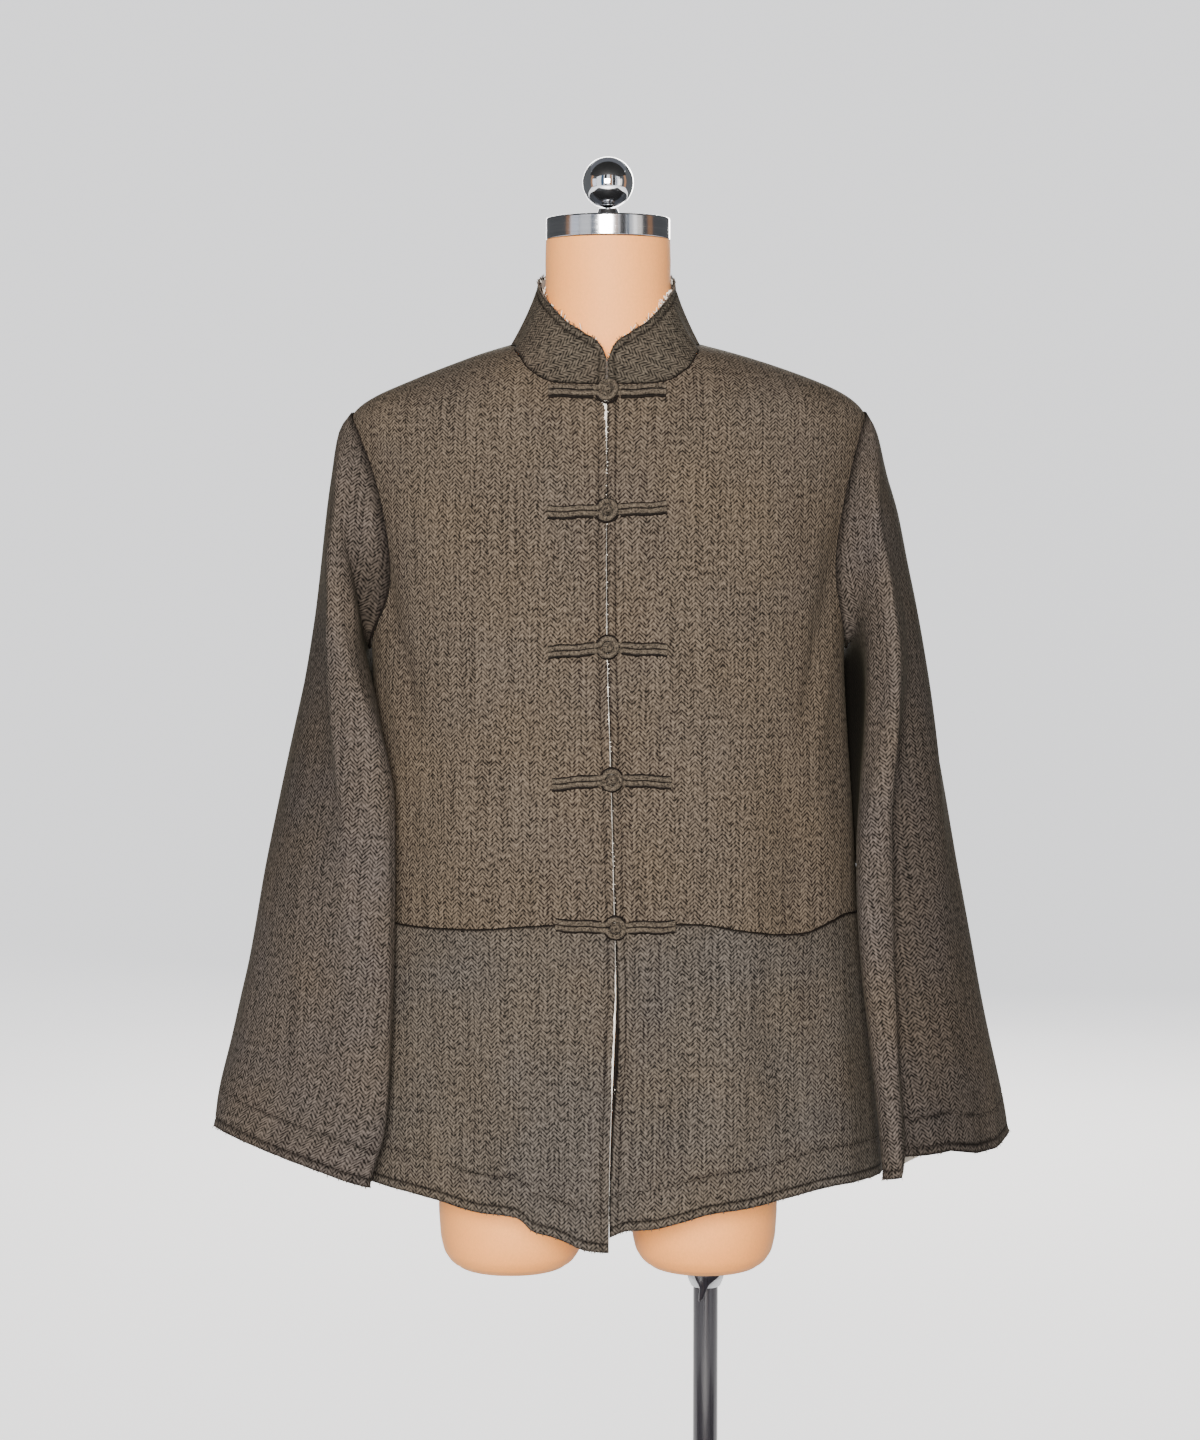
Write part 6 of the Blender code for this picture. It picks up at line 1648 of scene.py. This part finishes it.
# ---------------------------------------------------------------- seams
# The pieces are joined by plain machine seams. Where two edges meet, the silk of the seam lies sunk
# between them as one thin dark line, which also paints the shade in the seam's gap.
SEAM_THREAD = 0.0007
SEAM_SINK = {"neck": 0.0003, "side": 0.0009}    # how far a thread's middle lies under the cloth's face
ARMHOLE_THREAD = 0.0009
ARMHOLE_PROUD = (0.0022, 0.0020)    # off the body where the cloth rolls, and how much less at the tip
ARMHOLE_TIP_REACH = 0.014
MOUTH_SHADOW_TUBE = 0.0016      # a near-black tube in each pocket's mouth, painted shadow of the open mouth
GAP_SHADOW_RADIUS = 0.0006       # a near-black tube filling the centre-front gap, painted shadow of the deep opening
GAP_SHADOW_SINK = 0.0013


def seam(name, radius, *paths):
    """Sunk dark silk along one or more paths: seam thread that also paints shade, or a painted shadow."""
    made = add_piece(name, *joined_mesh([cord_mesh(path, radius, 6, 0.15, 7) for path in paths]), [silk_and_shadow], 80)
    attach(made, "root")


seam("neck_seam_thread", SEAM_THREAD,
     *(spots - SEAM_SINK["neck"] * outs for spots, outs in (neckline(1), neckline(-1))))
# Painted shadow: a near-black tube, nearly as wide as the opening, fills the centre-front gap where it lies
# in deep shade.
gap_shadow_heights = np.linspace(HEM_HEIGHT - 0.015, FRONT_NECK_HEIGHT - 0.012, 260)
gap_shadow_shift, opening_half_gap = np.moveaxis(curve_at(CENTRE_FRONT, gap_shadow_heights), -1, 0)
gap_shadow_path = on_front(gap_shadow_shift + 0.0004, gap_shadow_heights, -GAP_SHADOW_SINK)
gap_shadow = cord_mesh(gap_shadow_path, np.maximum(GAP_SHADOW_RADIUS, opening_half_gap * 0.95), 8, 0.15, 8)
gap_shadow_piece = add_piece("front_gap_shadow_tube", *gap_shadow, [silk_and_shadow], 80)
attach(gap_shadow_piece, "root")
for sign, side in ((1, "left"), (-1, "right")):
    loop_points, loop_out = armhole_loop(sign)
    from_tip = loop_points[:, 2].max() - loop_points[:, 2]
    proud = ARMHOLE_PROUD[0] - band(from_tip, 0, ARMHOLE_TIP_REACH, ARMHOLE_PROUD[1])
    ring = loop_points + proud[:, None] * loop_out
    seam(f"armhole_seam_thread_{side}", ARMHOLE_THREAD, np.concatenate((ring, ring[:1])))
    points, out = fronts[sign][3:]
    top = int(np.argmin(np.abs(points[:, -1, 2] - ARMPIT_HEIGHT)))
    seam(f"side_seam_thread_{side}", SEAM_THREAD, points[:top, -1] - SEAM_SINK["side"] * out[:top, -1])
    # A near-black tube along each pocket's mouth is painted shadow of the open mouth.
    mouth_points, mouth_out = pocket_faces[sign][:2]
    seam(f"pocket_mouth_shadow_tube_{side}", MOUTH_SHADOW_TUBE, mouth_points[-1] - MOUTH_SHADOW_TUBE * mouth_out[-1])

# ---------------------------------------------------------------- frayed yarns
# The raw edges of the wool have begun to fray: short ends of dark yarn, and of the cream yarn from the
# cloth's inner face, stand out of the collar's rim, the cuffs, the hems and the front edges.
FRAY_RADIUS = 0.00034


def frayed(name, spots, ways, outs, number, reach, curl, material, seed):
    """Short bent yarn ends, growing from places along an edge away from the cloth."""
    draw = random.Random(seed)
    parts = []
    for _ in range(number):
        k = draw.randrange(1, len(spots) - 1)
        length = draw.uniform(0.35, 1.0) ** 2 * reach
        lean = unit(spots[k + 1] - spots[k]) * draw.uniform(-0.9, 0.9)
        way = unit(ways[k] + lean + outs[k] * draw.uniform(-0.1, 0.5))
        bend = unit(np.array([draw.uniform(-1, 1) for _ in range(3)])) * curl * length
        root = spots[k] - ways[k] * 0.0006
        path = [root + way * length * t + bend * t * t for t in (0.0, 0.3, 0.6, 0.85, 1.0)]
        parts.append(cord_mesh(np.array(path), FRAY_RADIUS, 4))
    made = add_piece(name, *joined_mesh(parts), [material], 80)
    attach(made, "root")


def frayed_hem(name, points, out, number, reach, seed):
    """Dark yarn ends that hang from a raw hem."""
    frayed(name, points[0], unit(points[0] - points[3]), out[0], number, reach, 0.5, dark_yarn, seed)


# Loose yarn: woollen singles, fuzzy and matt, in the two colours that the cloth is woven from.
dark_yarn = felted_wool("dark_wool_yarn", "#241c14", "#4c4134")
cream_yarn = felted_wool("cream_wool_yarn", "#c9c0b0", "#efe9de")
rim_up = unit(collar_outer[-1] - collar_outer[-3])
frayed("collar_frayed_yarns_dark", collar_outer[-1], rim_up, collar_out[-1], 420, 0.0036, 0.5, dark_yarn, 3)
frayed("collar_frayed_yarns_cream", collar_inner[-1], rim_up, collar_out[-1], 60, 0.0030, 0.5, cream_yarn, 4)
last = collar_outer.shape[1]
for side, low, high, number, seed in (("left", 14, 60, 90, 5), ("right", last - 60, last - 14, 12, 6)):
    part = slice(low, high)
    frayed(f"collar_front_frayed_yarns_{side}", collar_inner[-1, part], rim_up[part], collar_out[-1, part],
           number, 0.0052, 0.6, cream_yarn, seed)
for side, column, beside in (("left", 0, 4), ("right", -1, -5)):
    end, end_way = collar_outer[:, column], unit(collar_outer[:, column] - collar_outer[:, beside])
    frayed(f"collar_end_frayed_yarns_{side}", end, end_way, collar_out[:, column], 60, 0.0024, 0.5, dark_yarn,
           50 + column)
for sign, side in ((1, "left"), (-1, "right")):
    frayed_hem(f"cuff_frayed_yarns_{side}", *sleeves[sign][:2], 120, 0.0022, 12 + sign)
    frayed_hem(f"hem_frayed_yarns_{side}", *pocket_faces[sign][:2], 130, 0.0018, 22 + sign)
    points, out = fronts[sign][3:]
    inward = unit(points[:, 0] - points[:, 6])
    frayed(f"front_edge_frayed_yarns_{side}", points[:, 0], inward, out[:, 0], 70, 0.0016, 0.6, cream_yarn,
           32 + sign)
wide, wide_out, up = sleeves[1]
corner = slice(int(SLEEVE_AROUND * 0.70), int(SLEEVE_AROUND * 0.80))
frayed("left_cuff_loose_yarns", wide[0, corner], unit(wide[0] - wide[3])[corner], wide_out[0, corner],
       9, 0.013, 0.6, cream_yarn, 41)
frayed_hem("back_hem_frayed_yarns", back_points, back_out, 160, 0.0018, 43)

# ---------------------------------------------------------------- floor, lights and camera
# A plain pale studio: the floor rises into a round cloth wall that glows evenly from behind, well outside
# the camera's widest place. Large soft boxes in front and behind give the light.
FLOOR_RADIUS = 4.2
COVE_RADIUS = 5.0
WALL_TOP = 8.0
STAGE_STEPS = 96
COVE_STEPS = 16
studio_paint, tree, shader = finish("matt_studio_paint", {"Roughness": 0.95, "Emission Strength": 1.25})
shader.inputs["Emission Color"].default_value = linear("#fbfcff")
place = node(tree, "TexCoord").outputs["Object"]
cloudy = node(tree, "TexNoise", values={"Scale": 0.6, "Detail": 2.0}, links={"Vector": place})
pale = node(tree, "Mix", {"data_type": "RGBA"}, {6: linear("#bdbcbb"), 7: linear("#c6c4c2")},
            {0: cloudy.outputs["Fac"]})
wire(shader, {"Base Color": pale.outputs[2]})
bowl = [(radius, 0.0) for radius in (0.01, 2.0, FLOOR_RADIUS)]
for i in range(1, COVE_STEPS + 1):
    angle = math.radians(90 * i / COVE_STEPS)
    bowl.append((FLOOR_RADIUS + COVE_RADIUS * math.sin(angle), COVE_RADIUS - COVE_RADIUS * math.cos(angle)))
bowl.append((FLOOR_RADIUS + COVE_RADIUS, WALL_TOP))
turns = 2 * np.pi * np.arange(STAGE_STEPS) / STAGE_STEPS
studio_rings = [np.stack((r * np.sin(turns), -r * np.cos(turns), turns * 0 + z), 1) for r, z in bowl]
studio_faces = [face[::-1] for face in ring_faces(len(bowl), STAGE_STEPS)] + [tuple(range(STAGE_STEPS))]
studio = add_piece("studio_floor", np.concatenate(studio_rings), studio_faces, [studio_paint], 80)
studio.location.z = -SEAT
studio.visible_diffuse = False

world = bpy.data.worlds.new("studio")
world.use_nodes = True
world.node_tree.nodes["Background"].inputs["Color"].default_value = linear("#e9ecf8")
world.node_tree.nodes["Background"].inputs["Strength"].default_value = 0.20
bpy.context.scene.world = world

SURROUND_RADIUS = 5.2
SURROUND_HEIGHTS = (-0.2, 4.6)
# Hangings that only the bright metal mirrors, as a room in front of the stand: from_turn, to_turn, cloth
HANGINGS = (
    (-160, -84, "grey"), (-84, -72, "peach"), (-72, -54, "grey"), (-32, -20, "blue"), (-17, -6, "dark"),
    (7, 18, "peach"), (21, 33, "dark"), (35, 39, "blue"), (55, 78, "grey"), (78, 90, "peach"),
    (90, 160, "grey"),
)
HANGING_TINTS = {
    "dark": "#15181c", "blue": "#4c6580", "grey": "#5d5f61", "peach": "#c08f6c", "ceiling": "#060606",
    "tan": "#7d664e",
}
FLOOR_CLOTHS = ((-2.6, -0.30, "ceiling"), (-0.30, 0.22, "tan"), (0.22, 2.6, "ceiling"))   # left, right, cloth
hanging_cloths = {}
for name, colour in HANGING_TINTS.items():
    made, tree, shader = finish(f"{name}_studio_cloth", {"Roughness": 1.0, "Emission Strength": 1.0})
    shader.inputs["Base Color"].default_value = linear("#000000")
    shader.inputs["Emission Color"].default_value = linear(colour)
    hanging_cloths[name] = made


def hang(name, corners, cloth):
    """A flat cloth in the studio that is seen only as a reflection."""
    made = add_piece(name, corners, [(0, 1, 2, 3)], [hanging_cloths[cloth]], 80)
    made.visible_camera = False
    made.visible_diffuse = False
    made.visible_shadow = False


low, high = SURROUND_HEIGHTS
for number, (start, end, cloth) in enumerate(HANGINGS, 1):
    first, last = [
        (SURROUND_RADIUS * math.sin(turn), -SURROUND_RADIUS * math.cos(turn))
        for turn in (math.radians(start), math.radians(end))
    ]
    hang(f"hanging_{number}", [(*first, low), (*last, low), (*last, high), (*first, high)], cloth)


def level_cloth(name, left, right, front, rear, height, cloth):
    """A cloth that hangs or lies level."""
    corners = ((left, front), (right, front), (right, rear), (left, rear))
    hang(name, [(x, y, height) for x, y in corners], cloth)


level_cloth("ceiling_cloth", -3.0, 3.0, -2.3, 0.3, 2.9, "ceiling")
for number, (left, right, cloth) in enumerate(FLOOR_CLOTHS, 1):
    level_cloth(f"floor_cloth_{number}", left, right, -2.4, -0.26, 0.02, cloth)


def soft_box(name, place_at, aim_at, size, power, colour):
    """A large soft light that the camera does not see."""
    light = bpy.data.lights.new(name, "AREA")
    light.shape = "RECTANGLE"
    light.size, light.size_y = size
    light.energy = power
    light.color = linear(colour)[:3]
    made = bpy.data.objects.new(name, light)
    made.location = place_at
    x, y, z = np.array(aim_at, float) - np.array(place_at, float)
    made.rotation_euler = (math.atan2(math.hypot(x, y), -z), 0.0, math.atan2(y, x) - math.pi / 2)
    made.visible_camera = False
    bpy.context.scene.collection.objects.link(made)


soft_box("front_box", (-0.3, -4.1, 1.75), (0.0, 0.0, 1.05), (1.6, 1.3), 540.0, "#fffaf5")
soft_box("right_box", (3.6, -2.4, 1.5), (0.0, 0.0, 1.0), (1.4, 2.0), 14.0, "#fff6ec")
soft_box("left_box", (-3.8, -1.8, 1.5), (0.0, 0.0, 1.0), (1.4, 2.0), 12.0, "#eef2ff")
soft_box("rear_box", (0.5, 4.2, 2.3), (0.0, 0.0, 1.0), (2.6, 1.8), 260.0, "#fffaf4")

# A camera at chest height that looks slightly down
CAMERA_PLACE = (-0.0131, -2.6, 1.31)
CAMERA_DOWN = 4.282
LENS, SENSOR_HEIGHT = 73.45, 36.0
camera_data = bpy.data.cameras.new("camera")
camera_data.sensor_fit = "VERTICAL"
camera_data.sensor_height = SENSOR_HEIGHT
camera_data.lens = LENS
camera = bpy.data.objects.new("camera", camera_data)
camera.location = CAMERA_PLACE
camera.rotation_euler = (math.radians(90 - CAMERA_DOWN), 0.0, 0.0)
bpy.context.scene.collection.objects.link(camera)
bpy.context.scene.camera = camera
